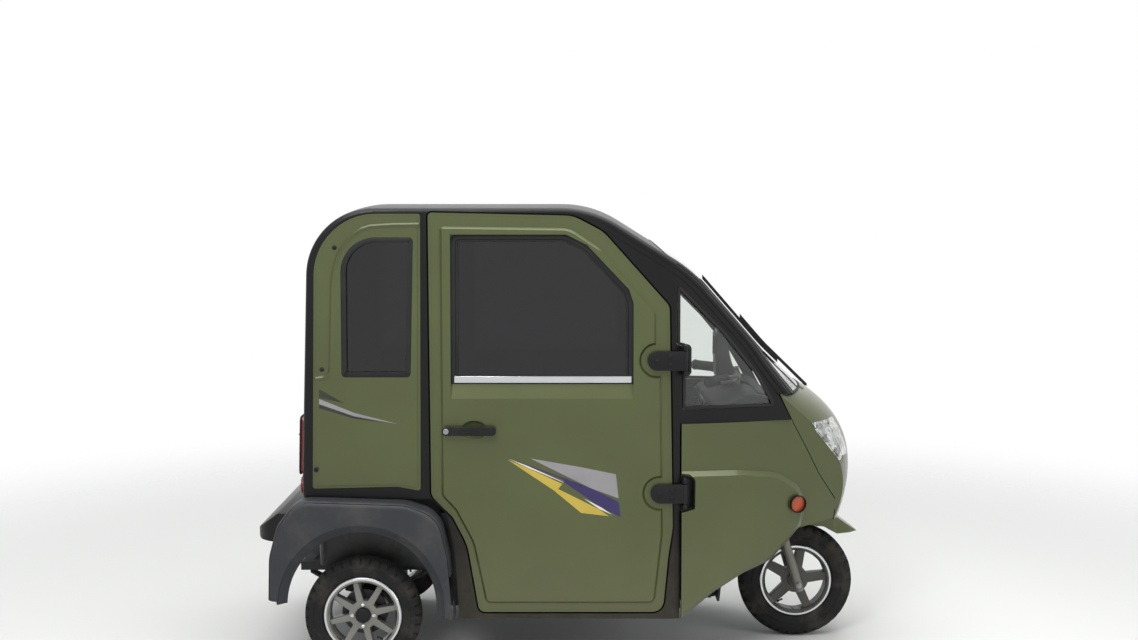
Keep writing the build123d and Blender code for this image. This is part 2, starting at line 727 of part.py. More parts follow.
with BuildPart() as wing:
    with BuildSketch(Plane.XZ.offset(WING_IN_Y)):
        with BuildLine():
            wing_outline()
        make_face()
    extrude(amount=WING_Y - WING_IN_Y)
    outer_rim = wing.faces().filter_by(Axis.Y).sort_by(Axis.Y)[0].edges().sort_by(Axis.Z)[1:]
    fillet(outer_rim, WING_ROUND)
    with BuildSketch(Plane.XZ.offset(WING_IN_Y)):
        with BuildLine():
            wing_outline()
        make_face()
        offset(amount=-WING_T)
        with Locations((ARCH_X, foot_front[1])):
            Rectangle(foot_front[0] - WING_ROWS[0][0] - 2 * WING_T, 300.0)
    extrude(amount=WING_Y - WING_IN_Y - WING_T, mode=Mode.SUBTRACT)
    with BuildSketch(Plane.XZ.offset(WING_IN_Y)):
        with Locations((ARCH_X, ARCH_Z)):
            Circle(ARCH_R)
        with Locations((ARCH_X, ARCH_Z - 150.0)):
            Rectangle(2 * ARCH_R, 300.0)
    extrude(amount=200.0, mode=Mode.SUBTRACT)
    add(arch_lip.part)
keep_both("rear_wings", wing.part)

# Rear bumper: a folded profile with rounded ends
with BuildPart() as bumper:
    with BuildSketch(Plane.XZ.offset(-BUMPER_HALF)):
        with BuildLine():
            outline(BUMPER_ROWS)
        make_face()
    extrude(amount=2 * BUMPER_HALF)
    with BuildSketch(Plane.XY.offset(BUMPER_LOW_Z - 10.0)):
        with BuildLine():
            outline(((CAB_REAR_X, -BUMPER_HALF, 0.0), (BUMPER_X, -BUMPER_HALF, BUMPER_ROUND),
                     (BUMPER_X, BUMPER_HALF, BUMPER_ROUND), (CAB_REAR_X, BUMPER_HALF, 0.0)))
        make_face()
    extrude(amount=BUMPER_TOP_Z - BUMPER_LOW_Z + 20.0, mode=Mode.INTERSECT)
keep("rear_bumper", bumper.part)

# Floor pan between the sills, deck over the rear wheels, battery tub between them
sill_x = 384.0
toe_x = 520.0
with BuildPart() as floor_pan:
    with BuildSketch(Plane.XY.offset(FLOOR_Z - FLOOR_T)):
        with BuildLine():
            Polyline((-416.0, -FLOOR_HALF), (sill_x, -FLOOR_HALF), (toe_x, -FLOOR_HALF + 50.0),
                     (toe_x, FLOOR_HALF - 50.0), (sill_x, FLOOR_HALF), (-416.0, FLOOR_HALF), close=True)
        make_face()
    extrude(amount=FLOOR_T)
keep("floor_pan", floor_pan.part)

tub_x = sum(TUB_X) / 2
tub_length = TUB_X[1] - TUB_X[0]
with BuildPart() as rear_deck:
    with Locations((tub_x + 8.0, 0.0, DECK_Z - DECK_T / 2)):
        Box(tub_length + 10.0, 2 * DECK_HALF, DECK_T)
    fillet(rear_deck.edges().filter_by(Axis.Z), 6.0)
keep("rear_deck", rear_deck.part)

tub_low = REAR_RAIL_Z + RAIL_H / 2 + FIT
tub_high = DECK_Z - DECK_T - FIT
with BuildPart() as battery_tub:
    with Locations((tub_x, 0.0, (tub_low + tub_high) / 2)):
        Box(tub_length, 2 * TUB_HALF, tub_high - tub_low)
    fillet(battery_tub.edges().filter_by(Axis.Z), 30.0)
keep("battery_tub", battery_tub.part)

# Frame rails with a step up over the rear axle, cross members between them
rail_low = RAIL_Z - RAIL_H / 2
rail_high = RAIL_Z + RAIL_H / 2
step_low = REAR_RAIL_Z - RAIL_H / 2
step_high = REAR_RAIL_Z + RAIL_H / 2
with BuildPart() as frame_rails:
    for side in (-1.0, 1.0):
        with BuildSketch(Plane.XZ.offset(side * RAIL_Y - RAIL_W / 2)):
            with BuildLine():
                Polyline((-420.0, rail_low), (516.0, rail_low), (516.0, rail_high), (-418.0, rail_high),
                         (-480.0, step_high), (-970.0, step_high), (-970.0, step_low),
                         (-490.0, step_low), close=True)
            make_face()
        extrude(amount=RAIL_W)
keep("frame_rails", frame_rails.part)

with BuildPart() as cross_members:
    for x, z in ((-380.0, RAIL_Z), (20.0, RAIL_Z), (494.0, RAIL_Z), (-946.0, REAR_RAIL_Z)):
        with Locations((x, 0.0, z)):
            Box(RAIL_W, 2 * RAIL_Y - RAIL_W - FIT, RAIL_H)
keep("cross_members", cross_members.part)

# Front bulkhead, head tube, dashboard: all inside the nose
nose_space = nose_form(-NOSE_SKIN - FIT)
with BuildPart() as bulkhead:
    with BuildSketch(Plane.XZ.offset(-390.0)):
        with BuildLine():
            Polyline((524.0, 240.0), (556.0, 560.0), (571.0, 846.0), (579.0, 846.0), (564.0, 560.0),
                     (532.0, 240.0), close=True)
        make_face()
    extrude(amount=780.0)
    add(nose_space, mode=Mode.INTERSECT)
keep("bulkhead", bulkhead.part)

with BuildPart() as head_tube:
    with BuildSketch(steer_plane(560.0)):
        Circle(HEAD_R)
        Circle(STEM_R + 3.0, mode=Mode.SUBTRACT)
    extrude(amount=150.0)
keep("head_tube", head_tube.part)

with BuildPart() as dashboard:
    with BuildSketch(Plane.XZ.offset(-DASH_HALF)):
        with BuildLine():
            outline(DASH_ROWS)
        make_face()
    extrude(amount=2 * DASH_HALF)
    add(nose_space, mode=Mode.INTERSECT)
    add(centre_block, mode=Mode.INTERSECT)
    with BuildSketch(steer_plane(800.0)):
        Circle(60.0)
    extrude(amount=300.0, mode=Mode.SUBTRACT)
keep("dashboard", dashboard.part)

# Seats: driver's box, cushion and domed backrest; rear bench cushion and backrest
with BuildPart() as driver_seat:
    with Locations((60.0, 0.0, 440.0)):
        Box(300.0, 640.0, 350.0)
    with BuildSketch(Plane.XY.offset(615.0)):
        with Locations((60.0, 0.0)):
            RectangleRounded(380.0, 680.0, 70.0)
    extrude(amount=90.0)
    fillet(driver_seat.faces().sort_by(Axis.Z)[-1].edges(), 30.0)
    with BuildSketch(Plane.YZ.offset(-190.0)):
        with BuildLine():
            outline(((-330.0, 660.0, 10.0), (-330.0, 960.0, 130.0), (-200.0, 1084.0, 150.0),
                     (200.0, 1084.0, 150.0), (330.0, 960.0, 130.0), (330.0, 660.0, 10.0)))
        make_face()
    extrude(amount=86.0)
keep("driver_seat", driver_seat.part)

with BuildPart() as rear_bench:
    with BuildSketch(Plane.XY.offset(DECK_Z + FIT)):
        with Locations((-570.0, 0.0)):
            RectangleRounded(320.0, 760.0, 50.0)
    extrude(amount=90.0)
    with BuildSketch(Plane.YZ.offset(-800.0)):
        with BuildLine():
            outline(((-380.0, 660.0, 10.0), (-380.0, 1040.0, 90.0),
                     (380.0, 1040.0, 90.0), (380.0, 660.0, 10.0)))
        make_face()
    extrude(amount=80.0)
keep("rear_bench", rear_bench.part)

# Rear axle with brake drums and motor housing, leaf springs under the rails
drum_out = TRACK / 2 - SPOKE_D / 2 - RUN_GAP
with BuildPart() as rear_axle:
    with Locations((REAR_AXLE_X, 0.0, REAR_TYRE_R)):
        Cylinder(AXLE_TUBE_R, 2 * drum_out, rotation=(90, 0, 0))
        Cylinder(AXLE_R, TRACK + SPOKE_D + 12.0, rotation=(90, 0, 0))
    with Locations((REAR_AXLE_X, 40.0, REAR_TYRE_R)):
        Cylinder(MOTOR_R, MOTOR_L, rotation=(90, 0, 0))
    for side in (-1.0, 1.0):
        with Locations((REAR_AXLE_X, side * (drum_out - DRUM_T / 2), REAR_TYRE_R)):
            Cylinder(DRUM_R, DRUM_T, rotation=(90, 0, 0))
keep("rear_axle", rear_axle.part)

leaf_seat_z = REAR_TYRE_R + AXLE_TUBE_R + FIT + LEAF_T * len(LEAVES)
leaf_rise = step_low - FIT - leaf_seat_z
with BuildPart() as leaf_springs:
    for side in (-1.0, 1.0):
        for half, place in LEAVES:
            drop = leaf_seat_z - LEAF_T * place
            lift = leaf_rise * (half / LEAVES[0][0]) ** 2
            with BuildSketch(Plane.XZ.offset(side * RAIL_Y - LEAF_W / 2)):
                with BuildLine():
                    ThreePointArc((REAR_AXLE_X - half, drop + lift), (REAR_AXLE_X, drop),
                                  (REAR_AXLE_X + half, drop + lift))
                    Line((REAR_AXLE_X + half, drop + lift), (REAR_AXLE_X + half, drop + lift - LEAF_T))
                    ThreePointArc((REAR_AXLE_X + half, drop + lift - LEAF_T), (REAR_AXLE_X, drop - LEAF_T),
                                  (REAR_AXLE_X - half, drop + lift - LEAF_T))
                    Line((REAR_AXLE_X - half, drop + lift - LEAF_T), (REAR_AXLE_X - half, drop + lift))
                make_face()
            extrude(amount=LEAF_W)
keep("leaf_springs", leaf_springs.part)


# Tyres and rims
def tyre(radius, width, rim_width, x, y):
    """A tyre by one revolved section: beads, bulged sidewalls, round shoulders, flat tread centre."""
    half = width / 2
    seat = rim_width / 2 - 8.0
    crown = half * 0.45
    with BuildPart() as body:
        with BuildSketch(Plane(origin=(x, y, radius), x_dir=(0, 1, 0), z_dir=(1, 0, 0))):
            with BuildLine():
                FilletPolyline(
                    (-seat, BEAD_R + 1.0), (-seat, BEAD_R + 12.0), (-half, BEAD_R + 34.0),
                    (-half + 3.0, radius - 20.0), (-crown, radius), (crown, radius),
                    (half - 3.0, radius - 20.0), (half, BEAD_R + 34.0), (seat, BEAD_R + 12.0),
                    (seat, BEAD_R + 1.0),
                    radius=(2.0, 4.0, 18.0, 14.0, 30.0, 30.0, 14.0, 18.0, 4.0, 2.0), close=True,
                )
            make_face()
        revolve(axis=Axis((x, y, radius), (0, 1, 0)))
    return body.part


def rim(tyre_radius, width, spokes, x, y):
    """A cast rim: barrel with lips, hub and tapered spokes."""
    count, first_angle, hub_end, rim_end = spokes
    half = width / 2
    root = HUB_R - 8.0
    tip = BARREL_R + 3.0
    with BuildPart() as body:
        with BuildSketch(Plane(origin=(x, y, tyre_radius), x_dir=(0, 1, 0), z_dir=(1, 0, 0))):
            with BuildLine():
                Polyline(
                    (-half, FLANGE_R), (-half + 5.0, FLANGE_R), (-half + 7.0, BEAD_R), (half - 7.0, BEAD_R),
                    (half - 5.0, FLANGE_R), (half, FLANGE_R), (half, FLANGE_R - LIP_T),
                    (half - 8.0, BARREL_R), (-half + 8.0, BARREL_R), (-half, FLANGE_R - LIP_T), close=True,
                )
            make_face()
        revolve(axis=Axis((x, y, tyre_radius), (0, 1, 0)))
        with BuildSketch(Plane.XZ.offset(-y - SPOKE_D / 2)):
            with Locations((x, tyre_radius)):
                Circle(HUB_R)
                with PolarLocations(0.0, count, start_angle=first_angle):
                    Polygon((root, -hub_end / 2), (tip, -rim_end / 2), (tip, rim_end / 2),
                            (root, hub_end / 2), align=None)
        extrude(amount=SPOKE_D)
        with BuildSketch(Plane.XZ.offset(-y - half)):
            with Locations((x, tyre_radius)):
                Circle(AXLE_R + 1.0)
        extrude(amount=width, mode=Mode.SUBTRACT)
    return body.part


keep("front_tyre", tyre(FRONT_TYRE_R, FRONT_TYRE_W, FRONT_RIM_W, FRONT_AXLE_X, 0.0))
keep("front_rim", rim(FRONT_TYRE_R, FRONT_RIM_W, FRONT_SPOKES, FRONT_AXLE_X, 0.0))
keep_pair("rear_tyre", tyre(REAR_TYRE_R, REAR_TYRE_W, REAR_RIM_W, REAR_AXLE_X, -TRACK / 2))
keep_pair("rear_rim", rim(REAR_TYRE_R, REAR_RIM_W, REAR_SPOKES, REAR_AXLE_X, -TRACK / 2))

# Fork with crown, stem and axle
spacer = LEG_Y - SPOKE_D / 2 - RUN_GAP
with BuildPart() as fork:
    for side in (-1.0, 1.0):
        with BuildSketch(steer_plane(FRONT_TYRE_R - 24.0)):
            with Locations((0.0, side * LEG_Y)):
                Circle(LEG_R)
        extrude(amount=320.0)
        with Locations((FRONT_AXLE_X, side * (LEG_Y - spacer / 2), FRONT_TYRE_R)):
            Cylinder(AXLE_R + 6.0, spacer, rotation=(90, 0, 0))
    with BuildSketch(steer_plane(CROWN_Z)):
        RectangleRounded(70.0, 2 * LEG_Y + 60.0, 30.0)
    extrude(amount=CROWN_T)
    with BuildSketch(steer_plane(CROWN_Z)):
        Circle(STEM_R)
    extrude(amount=(STEM_TOP_Z - CROWN_Z) / math.cos(math.radians(RAKE)))
    with Locations((FRONT_AXLE_X, 0.0, FRONT_TYRE_R)):
        Cylinder(AXLE_R, 2 * LEG_Y, rotation=(90, 0, 0))
keep("fork", fork.part)

# Handlebar with its clamp, grips and instrument pod
bar_z = STEM_TOP_Z + 20.0
bar_x = steer_x(bar_z)
with BuildPart() as handlebar:
    with BuildSketch(steer_plane(STEM_TOP_Z)):
        Circle(26.0)
    extrude(amount=40.0)
    with BuildLine(Plane.XY.offset(bar_z)) as bar_line:
        FilletPolyline((bar_x - BAR_SWEEP, -BAR_HALF), (bar_x, -BAR_HALF / 2), (bar_x, BAR_HALF / 2),
                       (bar_x - BAR_SWEEP, BAR_HALF), radius=60.0)
    with BuildSketch(Plane(origin=bar_line.line @ 0, z_dir=bar_line.line % 0)):
        Circle(BAR_R)
    sweep()
    for end, inward in ((0, 1.0), (1, -1.0)):
        with BuildSketch(Plane(origin=bar_line.line @ end, z_dir=bar_line.line % end)):
            Circle(GRIP_R)
        extrude(amount=inward * GRIP_L)
    with BuildSketch(Plane.XZ.offset(-POD_HALF)):
        with BuildLine():
            outline(POD_ROWS)
        make_face()
    extrude(amount=2 * POD_HALF)
keep("handlebar", handlebar.part)


# Front mudguard: a beaked shell over the tyre
guard_reach = BEAK_X - FRONT_AXLE_X


def guard_face(shrink):
    """Side outline of the front mudguard, narrower by shrink at each side."""
    top = [(FRONT_AXLE_X + x, FRONT_TYRE_R + z) for x, z, radius in GUARD_REAR_TOP]
    top += [(FRONT_AXLE_X + share * guard_reach, FRONT_TYRE_R + z) for share, z, radius in GUARD_FRONT_TOP]
    radii = [row[2] for row in GUARD_REAR_TOP + GUARD_FRONT_TOP]
    skirt = [(FRONT_AXLE_X + share * guard_reach, FRONT_TYRE_R + z) for share, z in GUARD_FRONT_SKIRT]
    skirt += [(FRONT_AXLE_X + x, FRONT_TYRE_R + z) for x, z in GUARD_REAR_SKIRT]
    with BuildSketch(Plane.XZ.offset(-GUARD_HALF + shrink)) as face:
        with BuildLine():
            FilletPolyline(*top, radius=radii[1:-1])
            Polyline(top[-1], *skirt, top[0])
        make_face()
    return face.sketch


guard_side = guard_face(0.0)
guard_inside = guard_face(GUARD_T)
with BuildPart() as mudguard:
    extrude(guard_side, amount=2 * GUARD_HALF)
    with BuildSketch(Plane.XZ.offset(-GUARD_HALF + GUARD_T)):
        add(guard_inside)
        offset(amount=-GUARD_T)
        with Locations((FRONT_AXLE_X - 30.0, FRONT_TYRE_R + 60.0)):
            Circle(190.0)
    extrude(amount=2 * (GUARD_HALF - GUARD_T), mode=Mode.SUBTRACT)
    with BuildSketch(Plane.XY.offset(200.0)):
        with BuildLine():
            Polyline((500.0, -GUARD_HALF), (BEAK_X - 102.0, -GUARD_HALF), (BEAK_X - 32.0, -GUARD_HALF + 16.0),
                     (BEAK_X, -20.0), (BEAK_X, 20.0), (BEAK_X - 32.0, GUARD_HALF - 16.0),
                     (BEAK_X - 102.0, GUARD_HALF), (500.0, GUARD_HALF), close=True)
        make_face()
    extrude(amount=400.0, mode=Mode.INTERSECT)
keep("front_mudguard", mudguard.part)

# Door hinges: brackets with pins on the body, straps with barrels on the doors
pin_y = -(half_width(HINGES[0][0]) + HINGE_OUT)


def bracket(z, rows, inset):
    """A plate on the side block of the given inset, with two arms that hold the hinge pin."""
    arm_z = sum(KNUCKLE) / 2
    arm_h = KNUCKLE[1] - KNUCKLE[0]
    root_y = -(half_width(z) - inset - PLATE_T)
    with BuildPart() as body:
        add(side_prism(rows))
        add(side_block(inset - PLATE_T), mode=Mode.INTERSECT)
        for height in (z - arm_z, z + arm_z):
            with Locations((HINGE_X, (root_y + pin_y) / 2, height)):
                Box(2 * HINGE_BARREL_R, root_y - pin_y, arm_h)
        add(side_block(inset), mode=Mode.SUBTRACT)
        with Locations((HINGE_X, pin_y, z - arm_z), (HINGE_X, pin_y, z + arm_z)):
            Cylinder(HINGE_BARREL_R, arm_h)
        with Locations((HINGE_X, pin_y, z)):
            Cylinder(HINGE_PIN_R, 2 * KNUCKLE[1])
    return body.part


lower_bracket = bracket(HINGES[0][0], LOWER_PLATE_ROWS, POCKET_INSET)
upper_bracket = bracket(HINGES[1][0], UPPER_PLATE_ROWS, FRAME_INSET)
with BuildPart() as hinge_brackets:
    add(lower_bracket)
    add(upper_bracket)
keep_both("hinge_brackets", hinge_brackets.part)

with BuildPart() as hinge_strap:
    for z, end_x in HINGES:
        with BuildSketch(Plane.XZ.offset(-pin_y - STRAP_IN)):
            with BuildLine():
                ThreePointArc((end_x, z - STRAP_R), (end_x - STRAP_R, z), (end_x, z + STRAP_R))
                Polyline((end_x, z + STRAP_R), (HINGE_X, z + STRAP_R), (HINGE_X, z - STRAP_R),
                         (end_x, z - STRAP_R))
            make_face()
        extrude(amount=STRAP_IN + STRAP_OUT)
        with BuildSketch(Plane.XZ.offset(half_width(z) - PLATE_T)):
            with Locations((end_x, z)):
                Circle(PAD_R)
        extrude(amount=-pin_y - half_width(z) + PLATE_T)
        with Locations((HINGE_X, pin_y, z)):
            Cylinder(HINGE_BARREL_R, 2 * STRAP_R)
            Cylinder(HINGE_PIN_R + 0.4, 2 * KNUCKLE[1], mode=Mode.SUBTRACT)
    add(block_out, mode=Mode.SUBTRACT)
keep_pair("hinge_strap", hinge_strap.part)

# Door handle: a bar on two round posts, the rear one with the lock
handle_y = -(half_width(HANDLE_Z) + RAISE)
with BuildPart() as door_handle:
    with Locations((sum(HANDLE_X) / 2, handle_y - HANDLE_OFF, HANDLE_Z)):
        Box(HANDLE_X[1] - HANDLE_X[0], HANDLE_T, HANDLE_H)
    fillet(door_handle.edges().filter_by(Axis.Y), HANDLE_H / 2 - 2.0)
    with BuildSketch(Plane.XZ.offset(-handle_y + 0.4)):
        with Locations(*[(x, HANDLE_Z) for x in POST_XS]):
            Circle(POST_R)
    extrude(amount=HANDLE_OFF)
keep_pair("door_handle", door_handle.part)

# Lamps and reflectors that stand on the skin
reflector_x, reflector_z, reflector_r = REFLECTOR
with BuildPart() as side_reflector:
    with BuildSketch(Plane.XZ.offset(200.0)):
        with Locations((reflector_x, reflector_z)):
            Circle(reflector_r)
    extrude(amount=250.0)
    add(nose_form(BULGE + 7.0), mode=Mode.INTERSECT)
    add(nose_form(BULGE + 0.5), mode=Mode.SUBTRACT)
keep_both("side_reflectors", side_reflector.part)

with BuildPart() as tail_lamp:
    with BuildSketch(Plane.YZ.offset(-1000.0)):
        with Locations((-TAIL_LAMP_Y, TAIL_LAMP_Z)):
            RectangleRounded(80.0, 200.0, 16.0)
    extrude(amount=200.0)
    add(cab_form(-16.0), mode=Mode.INTERSECT)
    add(cab_form(-FIT), mode=Mode.SUBTRACT)
keep_both("tail_lamps", tail_lamp.part)

# Wiper: a blade that follows the glass and an arm above it, down to the cowl
with BuildPart() as wiper_arm:
    with BuildSketch(Plane.XZ.offset(-WIPER_Y - 6.0)):
        with BuildLine():
            Polyline((630.0, 1000.0), (630.0, 1400.0), (880.0, 1400.0), (880.0, 970.0), close=True)
        make_face()
    extrude(amount=12.0)
    add(cab_form(-22.0), mode=Mode.INTERSECT)
    add(cab_form(-11.0), mode=Mode.SUBTRACT)

with BuildPart() as wiper:
    with BuildSketch(Plane.XZ.offset(-WIPER_Y - 4.0)):
        with BuildLine():
            Polyline((490.0, 1100.0), (490.0, 1500.0), (770.0, 1500.0), (770.0, 1000.0), close=True)
        make_face()
    extrude(amount=8.0)
    add(cab_form(-12.0), mode=Mode.INTERSECT)
    add(cab_form(-1.0), mode=Mode.SUBTRACT)
    add(wiper_arm.part)
keep("wiper", wiper.part)

os.makedirs("parts", exist_ok=True)
for name, part in pieces.items():
    export_step(part, "parts/" + name + ".step")
print(len(pieces), "pieces")
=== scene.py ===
# %% [markdown]
# Dressing a small enclosed electric tricycle. The solids come from CAD and stand in a fixed frame, in
# metres: +X is forward, +Y is the vehicle's left, +Z is up. This script gives every solid its finish,
# adds the seals, trim, fasteners and soft parts that the solids leave out, and sets up light and camera.

# %% Load the frame
import math

import bmesh
import bpy
import json
from mathutils import Matrix, Vector

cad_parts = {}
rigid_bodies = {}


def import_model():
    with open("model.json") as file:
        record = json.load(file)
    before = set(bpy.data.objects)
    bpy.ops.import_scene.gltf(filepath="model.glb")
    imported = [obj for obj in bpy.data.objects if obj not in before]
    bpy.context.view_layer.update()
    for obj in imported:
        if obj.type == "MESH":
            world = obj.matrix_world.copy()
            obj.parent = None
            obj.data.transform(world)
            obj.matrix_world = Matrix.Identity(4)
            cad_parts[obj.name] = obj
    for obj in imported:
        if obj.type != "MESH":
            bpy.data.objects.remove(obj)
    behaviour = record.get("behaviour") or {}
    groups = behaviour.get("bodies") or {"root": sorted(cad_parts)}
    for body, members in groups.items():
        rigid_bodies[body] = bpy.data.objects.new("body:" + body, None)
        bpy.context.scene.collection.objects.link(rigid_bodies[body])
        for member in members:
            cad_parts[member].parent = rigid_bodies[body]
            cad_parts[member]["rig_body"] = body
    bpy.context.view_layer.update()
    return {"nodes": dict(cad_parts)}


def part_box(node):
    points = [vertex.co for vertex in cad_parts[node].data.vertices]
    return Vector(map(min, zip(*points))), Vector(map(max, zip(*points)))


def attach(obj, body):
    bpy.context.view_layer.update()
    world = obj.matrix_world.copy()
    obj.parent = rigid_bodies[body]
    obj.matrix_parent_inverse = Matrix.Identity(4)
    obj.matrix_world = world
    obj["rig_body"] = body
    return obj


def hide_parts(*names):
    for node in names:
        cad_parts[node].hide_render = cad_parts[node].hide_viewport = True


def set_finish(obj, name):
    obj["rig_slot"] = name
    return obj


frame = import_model()
nodes = frame["nodes"]
MM = 0.001
print(len(nodes), "solids loaded")

# %% [markdown]
# The camera stands beside the vehicle at eye height and looks down a little, with a normal lens. Its
# distance and tilt were worked out from the two wheels on this side and from the horizon.

# %% Camera
EYE_HEIGHT = 1.640
EYE_DISTANCE = 5.100
TILT_DOWN = math.radians(4.875)
SENSOR = 36
IMAGE_WIDTH = 1138
FOCAL_PIXELS = 1360

bpy.ops.object.camera_add(location=(0, -EYE_DISTANCE, EYE_HEIGHT),
                          rotation=(math.pi / 2 - TILT_DOWN, 0, 0))
camera = bpy.context.object
camera.data.sensor_width = SENSOR
camera.data.lens = SENSOR * FOCAL_PIXELS / IMAGE_WIDTH
camera.data.clip_end = 200
bpy.context.scene.camera = camera
bpy.context.scene.view_settings.view_transform = "Standard"
print("lens", round(camera.data.lens, 2), "mm")

# %% [markdown]
# Colours are picked on a screen, so they are sRGB. Shaders count in linear light, and one function does
# the change. Another adds a node: its properties come by name, its sockets in a dictionary, and a socket
# is given either a value or another node's output. The rest are short names for nodes that recur.

# %% Colour and node helpers
def linear(hex_colour, alpha=1):
    """An sRGB hex colour as linear red, green, blue, alpha."""
    channels = [int(hex_colour[i:i + 2], 16) / 255 for i in (1, 3, 5)]
    curve = [c / 12.92 if c <= 0.04045 else ((c + 0.055) / 1.055) ** 2.4 for c in channels]
    return (*curve, alpha)


def put(tree, kind, inputs=None, **settings):
    """Adds one shader node with its properties and its sockets' values or links."""
    node = tree.nodes.new("ShaderNode" + kind)
    for name, value in settings.items():
        setattr(node, name, value)
    for name, value in (inputs or {}).items():
        socket = node.inputs[name]
        if isinstance(value, bpy.types.NodeSocket):
            tree.links.new(value, socket)
        else:
            socket.default_value = value
    return node


def spread(tree, value, low, high, to_low, to_high, **settings):
    """Maps the range from low to high onto the range from to_low to to_high."""
    return put(tree, "MapRange", {"Value": value, "From Min": low, "From Max": high,
                                  "To Min": to_low, "To Max": to_high}, **settings).outputs[0]


def scaled(tree, colour, factor):
    """An sRGB colour made brighter or darker by another node's output."""
    return put(tree, "VectorMath", {0: linear(colour)[:3], "Scale": factor}, operation="SCALE").outputs[0]


def blend(tree, factor, first, second):
    """The first colour, mixed with the second by a factor."""
    return put(tree, "Mix", {0: factor, 6: first, 7: second}, data_type="RGBA").outputs[2]


def feed(tree, shader, **outputs):
    """Links nodes' outputs to the shader's sockets of the given names."""
    for socket, output in outputs.items():
        tree.links.new(output, shader.inputs[socket.replace("_", " ")])


def new_material(name, **values):
    """A Principled material with constant values: itself, its tree, shader and object coordinates."""
    material = bpy.data.materials.new(name)
    material.use_nodes = True
    shader = material.node_tree.nodes["Principled BSDF"]
    for socket, value in values.items():
        shader.inputs[socket.replace("_", " ")].default_value = value
    place = put(material.node_tree, "TexCoord").outputs["Object"]
    return material, material.node_tree, shader, place


def finish_with(material, *names):
    """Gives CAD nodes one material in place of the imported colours."""
    for name in names:
        data = nodes[name].data
        data.materials.clear()
        data.materials.append(material)
    print(material.name, "on", len(names), "solids")


# %% [markdown]
# The body is sheet steel under a metallic olive paint with a clear coat. Real flakes are about 0.05 mm,
# too fine to show, so they are drawn as 1.5 mm cells that only shift the brightness a little. Road dust
# gathers towards the sills. The inner faces are lined with dark plastic: a face is an inner one when its
# normal points back at the middle of the cab.

# %% Painted panels
CAB_MIDDLE = (-0.2, 0, 0.9)


def inner_face_mask(tree):
    """1 on the faces that look into the cab, 0 on the outside."""
    place = put(tree, "TexCoord")
    arm = put(tree, "VectorMath", {0: place.outputs["Object"], 1: CAB_MIDDLE}, operation="SUBTRACT")
    facing = put(tree, "VectorMath", {0: place.outputs["Normal"], 1: arm.outputs[0]},
                 operation="DOT_PRODUCT")
    return put(tree, "Math", {0: facing.outputs["Value"], 1: -0.2}, operation="LESS_THAN").outputs[0]


def painted_steel(name, colour, lining="#17181A", **sockets):
    """Flake paint under a clear coat, dusty low down, with a plain dark lining on the inner faces."""
    material, tree, shader, place = new_material(name, **sockets)
    flakes = put(tree, "TexVoronoi", {"Vector": place, "Scale": 1 / (1.5 * MM)})
    clouds = put(tree, "TexNoise", {"Vector": place, "Scale": 3, "Detail": 3})
    shift = spread(tree, clouds.outputs[0], 0.3, 0.7, 0.92, 1.06)
    sparkle = spread(tree, flakes.outputs["Distance"], 0, 1, 1.06, 0.94)
    bright = put(tree, "Math", {0: shift, 1: sparkle}, operation="MULTIPLY")
    paint = scaled(tree, colour, bright.outputs[0])
    height = put(tree, "SeparateXYZ", {0: place})
    low = spread(tree, height.outputs["Z"], 0.62, 0.18, 0, 0.35)
    grime = put(tree, "TexNoise", {"Vector": place, "Scale": 14, "Detail": 6, "Roughness": 0.65})
    dust = put(tree, "Math", {0: low, 1: grime.outputs[0]}, operation="MULTIPLY")
    dusty = blend(tree, dust.outputs[0], paint, linear("#6E6850"))
    inner = inner_face_mask(tree)
    streaks = spread(tree, grime.outputs[0], 0, 1, 0.30, 0.46)
    rough = put(tree, "Mix", {0: inner, 2: streaks, 3: 0.8})
    feed(tree, shader, Base_Color=blend(tree, inner, dusty, linear(lining)), Roughness=rough.outputs[0])
    return material


olive_paint = painted_steel("olive_metallic_paint", "#4D532F", Metallic=0.35, Coat_Weight=0.45,
                            Coat_Roughness=0.10, Specular_IOR_Level=0.35)
finish_with(olive_paint, "rear_quarter_panels", "door_right", "door_left", "rear_wall", "nose_panel",
            "front_side_right", "front_side_left", "front_mudguard")
black_gloss = painted_steel("black_gloss_enamel", "#08080A", Coat_Weight=0.1, Coat_Roughness=0.06,
                            Specular_IOR_Level=0.2)
finish_with(black_gloss, "side_frame_right", "side_frame_left", "roof")

# %% [markdown]
# Most of the remaining parts have one colour and a grain: injection-moulded plastic with a spark-eroded
# texture, satin enamel with orange peel, cast metal, rubber with mould release bloom. One function
# builds them all: the grain's size is given in millimetres and drives a bump, slow clouds shift the
# colour and the gloss, and fine specks of dust lie on top.

# %% Grained surfaces
def grained(name, colour, rough, grain, bump, clouds=0.10, dust=0.06, dust_colour="#7D7868", **sockets):
    """A surface with a grain of the given size in mm, cloudy colour and roughness, and specks of dust."""
    material, tree, shader, place = new_material(name, **sockets)
    cells = put(tree, "TexNoise", {"Vector": place, "Scale": 1 / (grain * MM), "Detail": 2})
    slow = put(tree, "TexNoise", {"Vector": place, "Scale": 9, "Detail": 5, "Roughness": 0.6})
    tone = scaled(tree, colour, spread(tree, slow.outputs[0], 0.3, 0.7, 1 - clouds, 1 + clouds))
    specks = spread(tree, slow.outputs[0], 0.5, 0.75, 0, dust)
    matt = spread(tree, slow.outputs[0], 0.3, 0.7, rough - 0.06, rough + 0.06)
    relief = put(tree, "Bump", {"Height": cells.outputs[0], "Strength": bump, "Distance": 0.3 * grain * MM})
    feed(tree, shader, Base_Color=blend(tree, specks, tone, linear(dust_colour)), Roughness=matt,
         Normal=relief.outputs[0])
    return material


